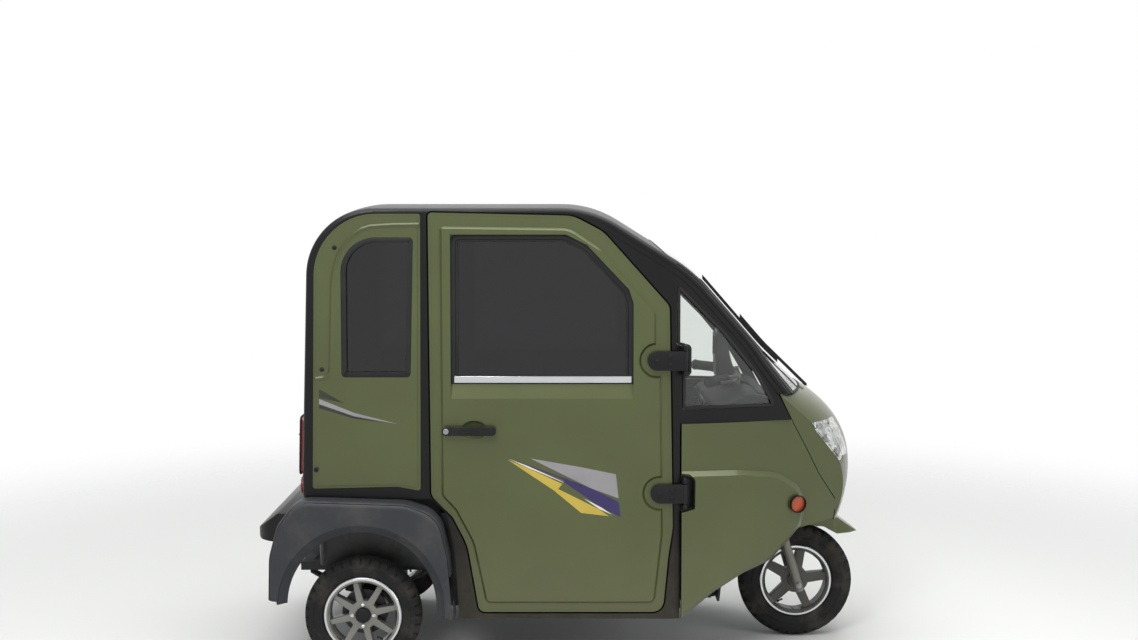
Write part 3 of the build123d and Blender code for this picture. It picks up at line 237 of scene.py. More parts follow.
# Spark-eroded grain of about 1.6 mm: the wings' dark blue-grey polypropylene looks matt and pebbled.
wing_plastic = grained("textured_polypropylene", "#292A2F", 0.56, 1.6, 0.5, dust=0.12, Specular_IOR_Level=0.4)
# Smoother black ABS for bumper, handles and small mouldings.
black_abs = grained("moulded_black_abs", "#101012", 0.36, 0.8, 0.15, Specular_IOR_Level=0.25)
# Soft grey-black dashboard skin with a leather-like grain.
dash_skin = grained("slush_moulded_dashboard", "#1B1C1F", 0.6, 2, 0.5, Specular_IOR_Level=0.35)
# Satin enamel over steel tube and plate, with orange peel of a few millimetres and dry dust.
chassis_enamel = grained("satin_black_enamel", "#161718", 0.45, 3, 0.12, dust=0.25)
# EPDM rubber for seals: matt, a little bloom.
seal_rubber = grained("epdm_seal_rubber", "#0C0C0D", 0.6, 0.7, 0.2, Specular_IOR_Level=0.35)
# Tyre rubber: carbon black with brown-grey road dust.
tyre_rubber = grained("tyre_rubber", "#161617", 0.82, 2, 0.35, clouds=0.2, dust=0.3,
                      dust_colour="#6F675A", Specular_IOR_Level=0.3)
# Silver lacquer over a sand-cast alloy: fine grain under the lacquer, brake dust in patches.
silver_casting = grained("silver_lacquered_casting", "#7B7A75", 0.42, 1.2, 0.25, dust=0.25,
                         dust_colour="#4E483F", Metallic=0.55, Coat_Weight=0.2)
# The front wheel's casting is darker and dirtier.
grey_casting = grained("grey_lacquered_casting", "#4D4C49", 0.45, 1.2, 0.25, dust=0.35,
                       dust_colour="#3A352D", Metallic=0.55)
# Bright machined or chromed metal for lips, nuts and the window strip.
bright_metal = grained("bright_chrome_plate", "#C9CACC", 0.16, 0.6, 0.04, clouds=0.05, dust=0.05,
                       Metallic=1)
turned_steel = grained("zinc_plated_steel", "#8E9092", 0.38, 0.5, 0.1, dust=0.2, Metallic=1)
# Seat cover: embossed vinyl leathercloth.
seat_vinyl = grained("embossed_black_vinyl", "#1F2023", 0.5, 2.2, 0.6, clouds=0.12, Sheen_Weight=0.15,
                     Specular_IOR_Level=0.4)
seat_piping = grained("grey_vinyl_piping", "#54565A", 0.5, 1, 0.2)
floor_rubber = grained("ribbed_floor_rubber", "#1A1A1B", 0.75, 1.5, 0.4, dust=0.3, Specular_IOR_Level=0.3)
door_lining = grained("pressed_fibreboard_lining", "#232427", 0.8, 1.8, 0.5, Specular_IOR_Level=0.3)
finish_with(wing_plastic, "rear_wings")
finish_with(black_abs, "rear_bumper", "wiper", "hinge_brackets", "hinge_strap_right", "hinge_strap_left",
            "door_handle_right", "door_handle_left")
finish_with(dash_skin, "dashboard", "bulkhead")
finish_with(floor_rubber, "floor_pan", "rear_deck")
finish_with(chassis_enamel, "frame_rails", "cross_members", "head_tube", "rear_axle", "leaf_springs",
            "handlebar", "battery_tub")
# The fork's legs are painted light grey and chipped by grit.
fork_enamel = grained("grey_fork_enamel", "#76756D", 0.4, 3, 0.15, dust=0.4, dust_colour="#4A453C",
                      Metallic=0.3)
finish_with(fork_enamel, "fork")
finish_with(tyre_rubber, "front_tyre", "rear_tyre_right", "rear_tyre_left")
finish_with(silver_casting, "rear_rim_right", "rear_rim_left")
finish_with(grey_casting, "front_rim")
finish_with(seat_vinyl, "driver_seat", "rear_bench")

# %% [markdown]
# Side and rear panes are toughened glass with a dark grey tint, the front ones are clear. Glass is never
# quite clean, so a thin film of dust gives faint streaks of roughness. Lamp lenses are moulded
# acrylic: their flutes, 3 to 4 mm apart, are a wave that bends the light with a bump.

# %% Glass and lenses
def pane(name, colour, streak, **sockets):
    """A sheet of glass with a film of dust that dulls it in soft streaks."""
    material, tree, shader, place = new_material(name, Transmission_Weight=1, IOR=1.5, **sockets)
    long_clouds = put(tree, "Mapping", {"Vector": place, "Scale": (5, 5, 1.5)})
    film = put(tree, "TexNoise", {"Vector": long_clouds.outputs[0], "Scale": 2, "Detail": 5})
    feed(tree, shader, Roughness=spread(tree, film.outputs[0], 0.45, 0.8, 0, streak))
    shader.inputs["Base Color"].default_value = linear(colour)
    return material


def fluted_lens(name, colour, pitch, clear):
    """A moulded lens with upright flutes of the given pitch in mm."""
    material, tree, shader, place = new_material(name, Roughness=0.12, Transmission_Weight=clear,
                                                 IOR=1.49)
    flutes = put(tree, "TexWave", {"Vector": place, "Scale": 0.31 / (pitch * MM)}, wave_profile="SIN",
                 bands_direction="DIAGONAL")
    mottle = put(tree, "TexNoise", {"Vector": place, "Scale": 60, "Detail": 2})
    shade = scaled(tree, colour, spread(tree, mottle.outputs[0], 0, 1, 0.85, 1.15))
    relief = put(tree, "Bump", {"Height": flutes.outputs["Color"], "Strength": 0.5, "Distance": 0.6 * MM})
    feed(tree, shader, Base_Color=shade, Normal=relief.outputs[0])
    return material


tinted_glass = pane("tinted_toughened_glass", "#454349", 0.012, Specular_IOR_Level=0.2)
clear_glass = pane("clear_laminated_glass", "#EDF1EE", 0.01, Specular_IOR_Level=0.5)
amber_lens = fluted_lens("amber_prismatic_acrylic", "#C8552A", 3, 0.25)
red_lens = fluted_lens("red_fluted_acrylic", "#A31A1A", 4, 0.35)
finish_with(tinted_glass, "rear_quarter_glass", "door_glass_right", "door_glass_left", "rear_glass")
finish_with(clear_glass, "windshield", "front_quarter_glass")
finish_with(amber_lens, "side_reflectors")
finish_with(red_lens, "tail_lamps")

# Behind the headlamp's clear cover lies a faceted reflector, vacuum-plated: facets of about 16 mm tip the
# light, and the cover's gloss lies over them as a clear coat.
lamp_reflector, tree, shader, place = new_material("reflector_painted_facet_glints", Metallic=1, Roughness=0.12,
                                                   Coat_Weight=1, Coat_Roughness=0.02)
facets = put(tree, "TexVoronoi", {"Vector": place, "Scale": 1 / (16 * MM)})
# Painted reflections: each facet is coloured a grey between dark and near white, while real plating is one
# even silver.
tone = put(tree, "ValToRGB", {"Fac": facets.outputs["Color"]})
tone.color_ramp.elements[0].color = linear("#3E4140")
tone.color_ramp.elements[1].color = linear("#E8EAE6")
relief = put(tree, "Bump", {"Height": facets.outputs["Distance"], "Strength": 0.7, "Distance": 3 * MM})
feed(tree, shader, Base_Color=tone.outputs[0], Normal=relief.outputs[0])

# %% [markdown]
# The prints on the doors and quarter panels are cut vinyl film: satin, with a slight mottle. Each colour
# of a swoosh is a film of its own.

# %% Cut vinyl films
silver_film = grained("silver_vinyl_film", "#8E8C8E", 0.35, 1, 0.05, dust=0.1, Metallic=0.3)
indigo_film = grained("indigo_vinyl_film", "#2A1F55", 0.3, 1, 0.05, dust=0.04)
white_film = grained("white_vinyl_film", "#D8D4CC", 0.4, 1, 0.05, dust=0.05)
yellow_film = grained("yellow_vinyl_film", "#B9A23E", 0.35, 1, 0.05, dust=0.08)
dark_film = grained("dark_vinyl_film", "#1E2016", 0.35, 1, 0.05, dust=0.05)

# %% [markdown]
# New pieces are modelled as by hand: a primitive is added, shaped in edit mode, and finished with
# modifiers. These helpers keep the selection tidy: work_on leaves one piece active, start adds a
# primitive, pick selects faces or edges by place, and settle puts the piece's place into its mesh.

# %% Modelling helpers
def mm(*values):
    """Millimetres as metres."""
    return tuple(value * MM for value in values)


def work_on(piece, edit=False):
    """Leaves one piece selected and active, in edit mode if asked."""
    bpy.ops.object.select_all(action="DESELECT")
    piece.select_set(True)
    bpy.context.view_layer.objects.active = piece
    if edit:
        bpy.ops.object.mode_set(mode="EDIT")
        bpy.ops.mesh.select_all(action="SELECT")
    return piece


def leave():
    """Back to object mode."""
    bpy.ops.object.mode_set(mode="OBJECT")


def start(kind, name, **settings):
    """Adds a mesh primitive with nothing else selected, and names it."""
    bpy.ops.object.select_all(action="DESELECT")
    getattr(bpy.ops.mesh, "primitive_" + kind + "_add")(**settings)
    piece = bpy.context.object
    piece.name = name
    return piece


def pick_all():
    """In edit mode, selects everything."""
    bpy.ops.mesh.select_all(action="SELECT")


def pick(piece, kind, test):
    """In edit mode, selects only the vertices, edges or faces that pass a test."""
    bpy.ops.mesh.select_mode(type=kind)
    bpy.ops.mesh.select_all(action="DESELECT")
    mesh = bmesh.from_edit_mesh(piece.data)
    members = {"VERT": mesh.verts, "EDGE": mesh.edges, "FACE": mesh.faces}[kind]
    chosen = [member for member in members if test(member)]
    for member in chosen:
        member.select_set(True)
    mesh.select_flush_mode()
    bmesh.update_edit_mesh(piece.data)
    return len(chosen)


def inset(width, **settings):
    """Insets the selected faces by a width in mm."""
    bpy.ops.mesh.inset(thickness=width * MM, **settings)


def move(x, y, z):
    """Moves what is selected, in mm."""
    bpy.ops.transform.translate(value=mm(x, y, z))


def extrude(x, y, z):
    """Extrudes the selected faces by a step in mm."""
    bpy.ops.mesh.extrude_region_move(TRANSFORM_OT_translate={"value": mm(x, y, z)})


def modify(piece, kind, **settings):
    """Adds a modifier and applies it."""
    work_on(piece)
    modifier = piece.modifiers.new(kind.lower(), kind)
    for name, value in settings.items():
        setattr(modifier, name, value)
    bpy.ops.object.modifier_apply(modifier=modifier.name)


def place_into_mesh():
    """Puts the place, turn and scale of the selected pieces into their meshes."""
    bpy.ops.object.transform_apply(location=True, rotation=True, scale=True)


def settle(piece, body, slot, material, smooth=35):
    """Puts a finished piece's place into its mesh and gives it finish, body and slot."""
    work_on(piece)
    place_into_mesh()
    piece.data.materials.clear()
    piece.data.materials.append(material)
    bpy.ops.object.shade_smooth_by_angle(angle=math.radians(smooth))
    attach(piece, body)
    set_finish(piece, slot)
    return piece


def own_copy(source, name):
    """A new object with its own copy of another's mesh, linked to the scene."""
    piece = bpy.data.objects.new(name, source.data.copy())
    bpy.context.scene.collection.objects.link(piece)
    return piece


def copied(piece, name, body, change):
    """A copy of a settled piece, moved by the given matrix."""
    other = own_copy(piece, name)
    other.data.transform(change)
    if change.determinant() < 0:
        other.data.flip_normals()
    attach(other, body)
    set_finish(other, piece["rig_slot"])
    return other


MIRROR = Matrix.Scale(-1, 4, (0, 1, 0))


def pair(piece):
    """The left-hand twin of a settled piece whose name ends in _right; it rides on the left-hand body."""
    body = piece["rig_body"].replace("_right", "_left")
    return copied(piece, piece.name.replace("_right", "_left"), body, MIRROR)


def copy_of(node, name):
    """A solid's mesh as a new piece, its doubles merged and its flat areas made whole faces."""
    piece = work_on(own_copy(nodes[node], name), edit=True)
    bpy.ops.mesh.remove_doubles(threshold=0.02 * MM)
    bpy.ops.mesh.dissolve_limited(angle_limit=math.radians(0.5))
    leave()
    return piece


def side_y(z, out=0):
    """Y of the right-hand side plane at height z, moved out, in mm."""
    return -(468 - 36 * (z - 200) / 1460 + out)


SIDE_LEAN = math.atan(36 / 1460)

# %% [markdown]
# The solids have sharp edges, but moulded and pressed parts never do: a small rounding catches a line of
# light. For the parts that the eye rests on, a copy of the solid gets a narrow bevel and replaces it.

# %% Rounded edges
def soften(piece, width, angle):
    """Rounds the edges that are sharper than an angle in degrees, by a width in mm."""
    modify(piece, "BEVEL", width=width * MM, segments=2, limit_method="ANGLE",
           angle_limit=math.radians(angle))


SOFTENED = (   # solid, width of the rounding in mm, slot, finish
    ("rear_bumper", 3, "dark_plastic", black_abs),
    ("dashboard", 5, "dark_plastic", dash_skin),
    ("hinge_strap_right", 1.2, "black_paint", black_abs),
    ("hinge_strap_left", 1.2, "black_paint", black_abs),
    ("hinge_brackets", 1, "black_paint", black_abs),
    ("door_handle_right", 2, "black_paint", black_abs),
    ("door_handle_left", 2, "black_paint", black_abs),
    ("front_rim", 1.6, "cast_rim", grey_casting),
    ("rear_rim_right", 1.6, "cast_rim", silver_casting),
    ("rear_rim_left", 1.6, "cast_rim", silver_casting),
    ("front_mudguard", 1.4, "body_paint", olive_paint),
    ("handlebar", 1.5, "frame_steel", chassis_enamel),
)
for node, width, slot, material in SOFTENED:
    body = frame["nodes"][node]["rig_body"]
    piece = copy_of(node, node + "_shown")
    soften(piece, width, 38)
    settle(piece, body, slot, material)
    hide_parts(node)
    print(piece.name, len(piece.data.polygons), "faces")

# %% [markdown]
# Each side window sits in a rubber frame. The frame starts as the pane's own outer face: it is inset by
# the frame's width, the middle is deleted, and the band that is left gets a thickness and soft edges.

# %% Rubber frames in the side windows
def band_round(node, name, width, thick, lift, soft=1.2):
    """A flat frame of the given width along the rim of a right-hand pane, standing out of its outer face."""
    piece = copy_of(node, name)
    work_on(piece, edit=True)
    pick(piece, "FACE", lambda face: face.normal.y > -0.9 or face.calc_center_median().y > 0)
    bpy.ops.mesh.delete(type="FACE")
    pick_all()
    bpy.ops.mesh.dissolve_limited(angle_limit=math.radians(3))
    pick_all()
    inset(width)
    bpy.ops.mesh.delete(type="FACE")
    pick_all()
    move(0, -lift, 0)
    leave()
    modify(piece, "SOLIDIFY", thickness=thick * MM, offset=1)
    soften(piece, soft, 40)
    return piece


FRAMES = (   # pane, name, width, thickness, lift, body
    ("rear_quarter_glass", "quarter_window_frame_right", 17, 13, 0.3, "body"),
    ("door_glass_right", "door_window_frame_right", 9, 7, 0.3, "door_right"),
    ("front_quarter_glass", "front_window_frame_right", 10, 9, 0.3, "body"),
)
for node, name, width, thick, lift, body in FRAMES:
    piece = settle(band_round(node, name, width, thick, lift), body, "dark_plastic", seal_rubber)
    pair(piece)
    print(name, [round(side, 3) for side in piece.dimensions])

# %% [markdown]
# Curved panes are held by a round rubber cord. The rim of the pane's outer side becomes a curve, the
# curve gets a thickness, and the result is made a mesh again.

# %% Rubber cords round the curved panes
def tube(piece, radius, resolution=2, caps=False):
    """Makes a line of edges a round tube of the given radius in mm, through a curve."""
    work_on(piece)
    bpy.ops.object.convert(target="CURVE")
    piece.data.bevel_depth = radius * MM
    piece.data.bevel_resolution = resolution
    piece.data.use_fill_caps = caps
    bpy.ops.object.convert(target="MESH")
    return bpy.context.object


def rim_cord(node, name, facing, radius, shift):
    """A round cord along the rim of the faces of a pane that look along facing, moved by shift in mm."""
    piece = copy_of(node, name)
    work_on(piece, edit=True)
    pick(piece, "FACE", lambda face: face.normal.dot(Vector(facing)) > 0.35)
    bpy.ops.mesh.region_to_loop()
    bpy.ops.mesh.select_all(action="INVERT")
    bpy.ops.mesh.delete(type="EDGE")
    pick_all()
    bpy.ops.mesh.delete(type="ONLY_FACE")
    pick_all()
    move(*shift)
    leave()
    return tube(piece, radius)


CORDS = (   # pane, name, facing, radius, shift
    ("windshield", "windshield_seal", (0.75, 0, 0.66), 6, (-1.5, 0, -1.5)),
    ("rear_glass", "rear_window_seal", (-1, 0, 0), 8, (-5, 0, 0)),
)
for node, name, facing, radius, shift in CORDS:
    piece = settle(rim_cord(node, name, facing, radius, shift), "body", "dark_plastic", seal_rubber)
    print(name, len(piece.data.polygons), "faces")

# %% [markdown]
# The door window's outer surround is a flat black moulding on the floor of the pressed recess. A patch of
# the door's own skin, cut out of a copy by planes, follows the pressing exactly; solidified, it stands
# proud of the paint. The printed films are made with the same cut, only thinner.

# %% Patches cut from a panel's skin
def cut_patch(node, name, corners, lift, thick=0, facing=0.25, look=(0, -1, 0)):
    """The right-hand skin of a solid that looks along look, inside convex corners (x, z), lifted off it."""
    piece = work_on(own_copy(nodes[node], name), edit=True)
    bpy.ops.mesh.remove_doubles(threshold=0.02 * MM)
    pick(piece, "FACE", lambda face: face.normal.dot(Vector(look)) < facing)
    bpy.ops.mesh.delete(type="FACE")
    for (x0, z0), (x1, z1) in zip(corners, corners[1:] + corners[:1]):
        pick_all()
        outwards = Vector((z1 - z0, 0, x0 - x1)).normalized()
        bpy.ops.mesh.bisect(plane_co=mm(x0, 0, z0), plane_no=outwards, clear_outer=True)
    pick_all()
    move(*(lift * along for along in look))
    leave()
    if thick:
        modify(piece, "SOLIDIFY", thickness=thick * MM, offset=1)
    return piece


SURROUND = ((-407, 1022), (222, 1022), (222, 1300), (206, 1348), (62, 1500), (-10, 1536), (-407, 1536))
surround = cut_patch("door_right", "window_surround_right", SURROUND, 0.2, thick=1.6, facing=0.9)
pair(settle(surround, "door_right", "dark_plastic", seal_rubber))

FILMS = {   # panel: name, finish, convex corners
    "door_right": (
        ("silver_wedge", silver_film,
         ((-97, 725), (74, 662), (173, 613), (162, 710), (28, 737), (-203, 777))),
        ("indigo_band_tail", indigo_film, ((-288, 795), (-143, 739), (-18, 682), (-18, 697), (-97, 726))),
        ("indigo_band", indigo_film,
         ((-18, 682), (112, 594), (179, 560), (173, 613), (74, 662), (-18, 697))),
        ("white_line", white_film,
         ((-23, 677), (104, 589), (177, 556), (181, 558), (112, 594), (-18, 682))),
        ("white_line_tail", white_film, ((-143, 733), (-23, 677), (-18, 682), (-143, 739), (-281, 791))),
        ("yellow_wedge", yellow_film, ((-46, 648), (42, 575), (158, 561), (104, 588), (-23, 676))),
        ("yellow_wedge_tail", yellow_film, ((-143, 714), (-46, 648), (-23, 676), (-143, 732), (-215, 762)))),
    "rear_quarter_panels": (
        ("dark_wedge", dark_film, ((-862, 974), (-778, 956), (-862, 1004))),
        ("silver_line", silver_film, ((-862, 952), (-742, 910), (-742, 922), (-862, 970))),
        ("silver_line_tip", silver_film, ((-742, 910), (-591, 883), (-742, 922))),
        ("dark_line", dark_film, ((-862, 938), (-742, 902), (-742, 909), (-862, 951))),
        ("dark_line_tip", dark_film, ((-742, 902), (-640, 888), (-742, 909)))),
}
for node, films in FILMS.items():
    body = frame["nodes"][node]["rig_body"]
    for name, film, corners in films:
        piece = cut_patch(node, name + "_right", corners, 0.35)
        pair(settle(piece, body, "body_paint", film))
        print(piece.name, len(piece.data.polygons), "faces")

# %% [markdown]
# Round parts are turned: the points of a circle are moved to the part's section, given as radius and
# place along the axis, and spun about the axis. The doubles at the seam and at the axis are merged.

# %% Turned parts
def drawn(name, points, fill="NOTHING"):
    """A closed outline through points in mm: a circle whose vertices are moved to them."""
    piece = start("circle", name, vertices=len(points), fill_type=fill)
    for vertex, point in zip(piece.data.vertices, points):
        vertex.co = mm(*point)
    return piece


def placed(piece, centre, aim):
    """Moves a piece's origin to a centre in mm and turns its Z axis to look along aim."""
    piece.rotation_euler = Vector(aim).to_track_quat("Z", "Y").to_euler()
    piece.location = mm(*centre)
    return piece


def spun(name, rows, centre=(0, 0, 0), aim=(0, -1, 0), steps=32):
    """A turned part from rows of radius and place along its axis, in mm; the axis points along aim."""
    piece = drawn(name, [(radius, 0, along) for radius, along in rows])
    work_on(piece, edit=True)
    bpy.ops.mesh.spin(steps=steps, angle=2 * math.pi, center=(0, 0, 0), axis=(0, 0, 1))
    pick_all()
    bpy.ops.mesh.remove_doubles(threshold=0.01 * MM)
    bpy.ops.mesh.normals_make_consistent(inside=False)
    leave()
    return placed(piece, centre, aim)


def soft_box(name, centre, size, soft, turn=(0, 0, 0)):
    """A cube stretched to size and rounded, all in mm; turn is in degrees."""
    piece = start("cube", name, size=1, location=mm(*centre),
                  rotation=tuple(math.radians(angle) for angle in turn))
    piece.scale = mm(*size)
    bpy.ops.object.transform_apply(location=False, rotation=False, scale=True)
    work_on(piece, edit=True)
    bpy.ops.mesh.bevel(offset=soft * MM, segments=2, affect="EDGES")
    leave()
    return piece


# %% [markdown]
# A bright strip closes the foot of the door window: an extrusion with two rounded beads and a channel
# between them. Its outer face is inset and pushed in, which leaves the beads along its edges. The seal
# behind the door's gap is a band of rubber: the door's outline, moved outwards and inset twice.

# %% Window strip, door seal
strip = soft_box("window_strip_right", (-90, side_y(1038, 1), 1037.5), (610, 7, 22), 1,
                 turn=(math.degrees(-SIDE_LEAN), 0, 0))
work_on(strip, edit=True)
pick(strip, "FACE", lambda face: face.normal.y < -0.9 and face.calc_area() > 5000 * MM * MM)
inset(5.5)
extrude(0, 3, 0)
leave()
pair(settle(strip, "door_right", "cast_rim", bright_metal))

DOOR_EDGE = ((-484, 1611), (-477, 632), (-402, 556), (-352, 458), (-312, 224),
             (326, 224), (345, 420), (360, 520), (346, 1290), (118, 1545), (14, 1600))


def outset(outline, by):
    """A convex outline (x, z), anticlockwise, with every side moved out by a distance."""
    moved = []
    for (x0, z0), (x1, z1), (x2, z2) in zip(outline[-1:] + outline[:-1], outline, outline[1:] + outline[:1]):
        first = Vector((z1 - z0, x0 - x1)).normalized()
        mitre = first + Vector((z2 - z1, x1 - x2)).normalized()
        moved.append(Vector((x1, z1)) + mitre * (by / mitre.dot(first)))
    return moved


SEAL_EDGE = [(x, side_y(z, -37), z) for x, z in outset(DOOR_EDGE, 15)]
door_seal = drawn("door_opening_seal_right", SEAL_EDGE, "NGON")
work_on(door_seal, edit=True)
bpy.ops.mesh.normals_make_consistent(inside=False)
bpy.ops.mesh.bevel(affect="VERTICES", offset=30 * MM, segments=3)
pick_all()
inset(15)
inset(20)
bpy.ops.mesh.delete(type="FACE")
leave()
modify(door_seal, "SOLIDIFY", thickness=6 * MM, offset=0)
soften(door_seal, 2, 30)
pair(settle(door_seal, "body", "dark_plastic", seal_rubber))
flange = soft_box("front_pillar_flange_right", (372, side_y(430, -22), 430), (34, 4, 400), 1.5)
pair(settle(flange, "body", "black_paint", black_gloss))

# %% [markdown]
# Small fasteners are modelled once and copied. A panel screw has a domed head with a round recess on a
# thin washer; a hinge bolt has a washer and a hexagon with a chamfered crown.

# %% Screws, hinge bolts
def repeated(first, changes):
    """Numbered copies of a settled piece named ..._right_1, one for each matrix, and the twins of all."""
    pieces = [first]
    for number, change in enumerate(changes, start=2):
        pieces.append(copied(first, f"{first.name[:-1]}{number}", first["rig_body"], change))
    for piece in pieces:
        pair(piece)
    return pieces


def joined(name, *parts):
    """Several shaped pieces joined into one mesh."""
    bpy.ops.object.select_all(action="DESELECT")
    for part in parts:
        part.select_set(True)
    bpy.context.view_layer.objects.active = parts[0]
    place_into_mesh()
    bpy.ops.object.join()
    parts[0].name = name
    return parts[0]


PANEL_SCREW = ((0, 0), (8, 0), (8, 1), (5.6, 1.2), (5.2, 2.6), (3.6, 3.4), (1.6, 3.7), (1.4, 2.2), (0, 2.2))
SCREWS = ((-804, 1491, 0.2), (-851, 1072, 0.2), (-874, 725, 9))   # x, z, out of the side plane


def lean_out(x, z, out):
    """A point on the right-hand side plane, moved out, in mm."""
    return (x, side_y(z, out), z)


OUTWARDS = (0, -math.cos(SIDE_LEAN), math.sin(SIDE_LEAN))
screw = settle(spun("panel_screw_right_1", PANEL_SCREW, lean_out(*SCREWS[0]), OUTWARDS, 20),
               "body", "black_paint", black_abs)
screw_steps = [Vector(mm(*lean_out(*place))) - Vector(mm(*lean_out(*SCREWS[0]))) for place in SCREWS[1:]]
heads = repeated(screw, [Matrix.Translation(step) for step in screw_steps])

bolt = start("cylinder", "hinge_bolt_right_1", vertices=6, radius=6.2 * MM, depth=4.5 * MM)
work_on(bolt, edit=True)
pick(bolt, "FACE", lambda face: face.normal.z > 0.9)
inset(1)
move(0, 0, 0.9)
pick(bolt, "FACE", lambda face: face.normal.z < -0.9)
inset(0.6)
inset(2.4)
leave()
washer = spun("hinge_washer", ((3, -3.2), (9.5, -3.2), (9.5, -2), (9, -1.6), (3, -1.6)), steps=24,
              aim=(0, 0, 1))
bolt = joined("hinge_bolt_right_1", bolt, washer)
PIN_X, PIN_Y = 400, -469.1
HINGE_HEIGHTS = (642, 1104)
STRAP_FACE_Y = PIN_Y - 6
HINGE_BOLTS = ((315, 642), (356, 656), (356, 628), (303, 1104), (348, 1118), (348, 1090))
x0, z0 = HINGE_BOLTS[0]
bolt = settle(placed(bolt, (x0, STRAP_FACE_Y - 3, z0), (0, -1, 0)), "door_right", "black_paint", black_abs)
bolts = repeated(bolt, [Matrix.Translation(mm(x - x0, 0, z - z0)) for x, z in HINGE_BOLTS[1:]])

# A pin cap closes the upper end of each hinge pin, on the body's bracket.
PIN_CAP = ((0, 0), (7.6, 0), (7.6, 2), (6, 4.2), (0, 5.2))
PIN_UP = 51.8
for number, z in enumerate(HINGE_HEIGHTS, start=1):
    cap = spun(f"hinge_pin_cap_right_{number}", PIN_CAP, (PIN_X, PIN_Y, z + PIN_UP), (0, 0, 1), 20)
    pair(settle(cap, "body", "black_paint", black_abs))
print(len(heads) + len(bolts), "fasteners on each side")

# %% [markdown]
# The handle's rear post carries the lock: a black collar round a silver barrel with a key slot. The
# barrel's face is inset to a narrow slot and pushed in.

# %% Door lock
LOCK_X, LOCK_Z = -422, 863
HANDLE_FACE_Y = side_y(LOCK_Z, 9 + 24 + 6.5)
LOCK_COLLAR = ((9.8, -0.5), (14.2, -0.5), (14.2, 2.4), (13, 3.4), (10.6, 3.4), (9.8, 2.6))
collar = spun("door_lock_collar_right", LOCK_COLLAR, (LOCK_X, HANDLE_FACE_Y, LOCK_Z))
pair(settle(collar, "door_right", "black_paint", black_abs))
barrel = start("cylinder", "door_lock_barrel_right", vertices=32, radius=9.6 * MM, depth=4 * MM)
work_on(barrel, edit=True)
pick(barrel, "FACE", lambda face: face.normal.z > 0.9)
inset(1.2)
move(0, 0, 0.8)
inset(3)
move(0, 0, -0.6)
inset(1)
bpy.ops.transform.resize(value=(0.28, 1, 1))
extrude(0, 0, -2)
leave()
barrel.rotation_euler = (math.pi / 2, 0, 0)
barrel.location = mm(LOCK_X, HANDLE_FACE_Y - 1.4, LOCK_Z)
pair(settle(barrel, "door_right", "cast_rim", turned_steel))

# %% [markdown]
# A headlamp's clear cover wraps from the side round to the front. It is cut as a patch out of the nose's
# own skin, where it lies over the lamp's solid, and given its thickness. Seen through the clear cover, the
# plated reflector's facets are what gives the lamp its look, so the cover's finish shows those: the facets
# and their painted reflections, in light and dark greys, are painted on the cover itself.

# %% Headlamps
LAMP_CORNERS = ((977, 727), (1100, 727), (1100, 862), (862, 862))
LAMP_LOOK = Vector((0.80, -0.50, 0.33)).normalized()
LAMP_INNER_Y = -150
for node, tag in (("nose_panel", "cover"), ("headlamps", "corner")):
    patch = cut_patch(node, f"headlamp_{tag}_right", LAMP_CORNERS, 1.2, facing=0.3, look=LAMP_LOOK)
    work_on(patch, edit=True)
    bpy.ops.mesh.bisect(plane_co=mm(0, LAMP_INNER_Y, 0), plane_no=(0, 1, 0), clear_outer=True)
    leave()
    modify(patch, "SOLIDIFY", thickness=2.4 * MM, offset=1)
    # The cover gets the reflector's finish: the facets and their painted reflections lie on the cover.
    pair(settle(patch, "body", "lamp_lens", lamp_reflector))
    print(patch.name, len(patch.data.polygons), "faces")
finish_with(lamp_reflector, "headlamps")

# %% [markdown]
# The round side reflector sits in a black ring, a turned collar set along the panel's slope.

# %% Reflector ring, beak
low, high = [Vector(corner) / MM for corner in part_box("side_reflectors")]
REFLECTOR_OUT = Vector((0.36, -0.93, 0)).normalized()
RING = ((27.5, -6), (31, -6), (32, 2), (31, 4), (29, 4.2), (28, 2.6), (27.5, 0.5))
ring = spun("side_reflector_ring_right", RING, (816, low.y + 7, 576), REFLECTOR_OUT, 40)
pair(settle(ring, "body", "dark_plastic", black_abs))
print("reflector box", [round(value, 1) for value in (*low, *high)])

# The mudguard's beak is closed at its sides: a profile is extruded across and cut by planes in plan.
BEAK = ((930, 430), (962, 430), (1011, 402), (1090, 406), (1001, 468.5), (930, 474.5))
BEAK_HALF = 61
BEAK_PLAN = ((990, -BEAK_HALF, 1060, -45.5), (1060, -45.5, 1091, -20))   # x, y to x, y of each cut
beak = drawn("front_mudguard_beak", [(x, -BEAK_HALF, z) for x, z in BEAK], "NGON")
work_on(beak, edit=True)
extrude(0, 2 * BEAK_HALF, 0)
pick_all()
bpy.ops.mesh.normals_make_consistent(inside=False)
for x0, y0, x1, y1 in BEAK_PLAN:
    for side in (1, -1):
        outwards = Vector((y1 - y0, x0 - x1, 0)).normalized()
        outwards.y *= side
        pick_all()
        bpy.ops.mesh.bisect(plane_co=mm(x0, side * y0, 0), plane_no=outwards, clear_outer=True,
                            use_fill=True)
leave()
soften(beak, 2.5, 25)
settle(beak, "steering", "body_paint", olive_paint)

# %% [markdown]
# A pressed step curls round the quarter window and runs out to the panel's edge; its slanted face catches
# the sky. It is a grid of three rows: the outer foot, the crest and the inner foot, set along the step.
# A plain guard closes the arch in front of the wheel.

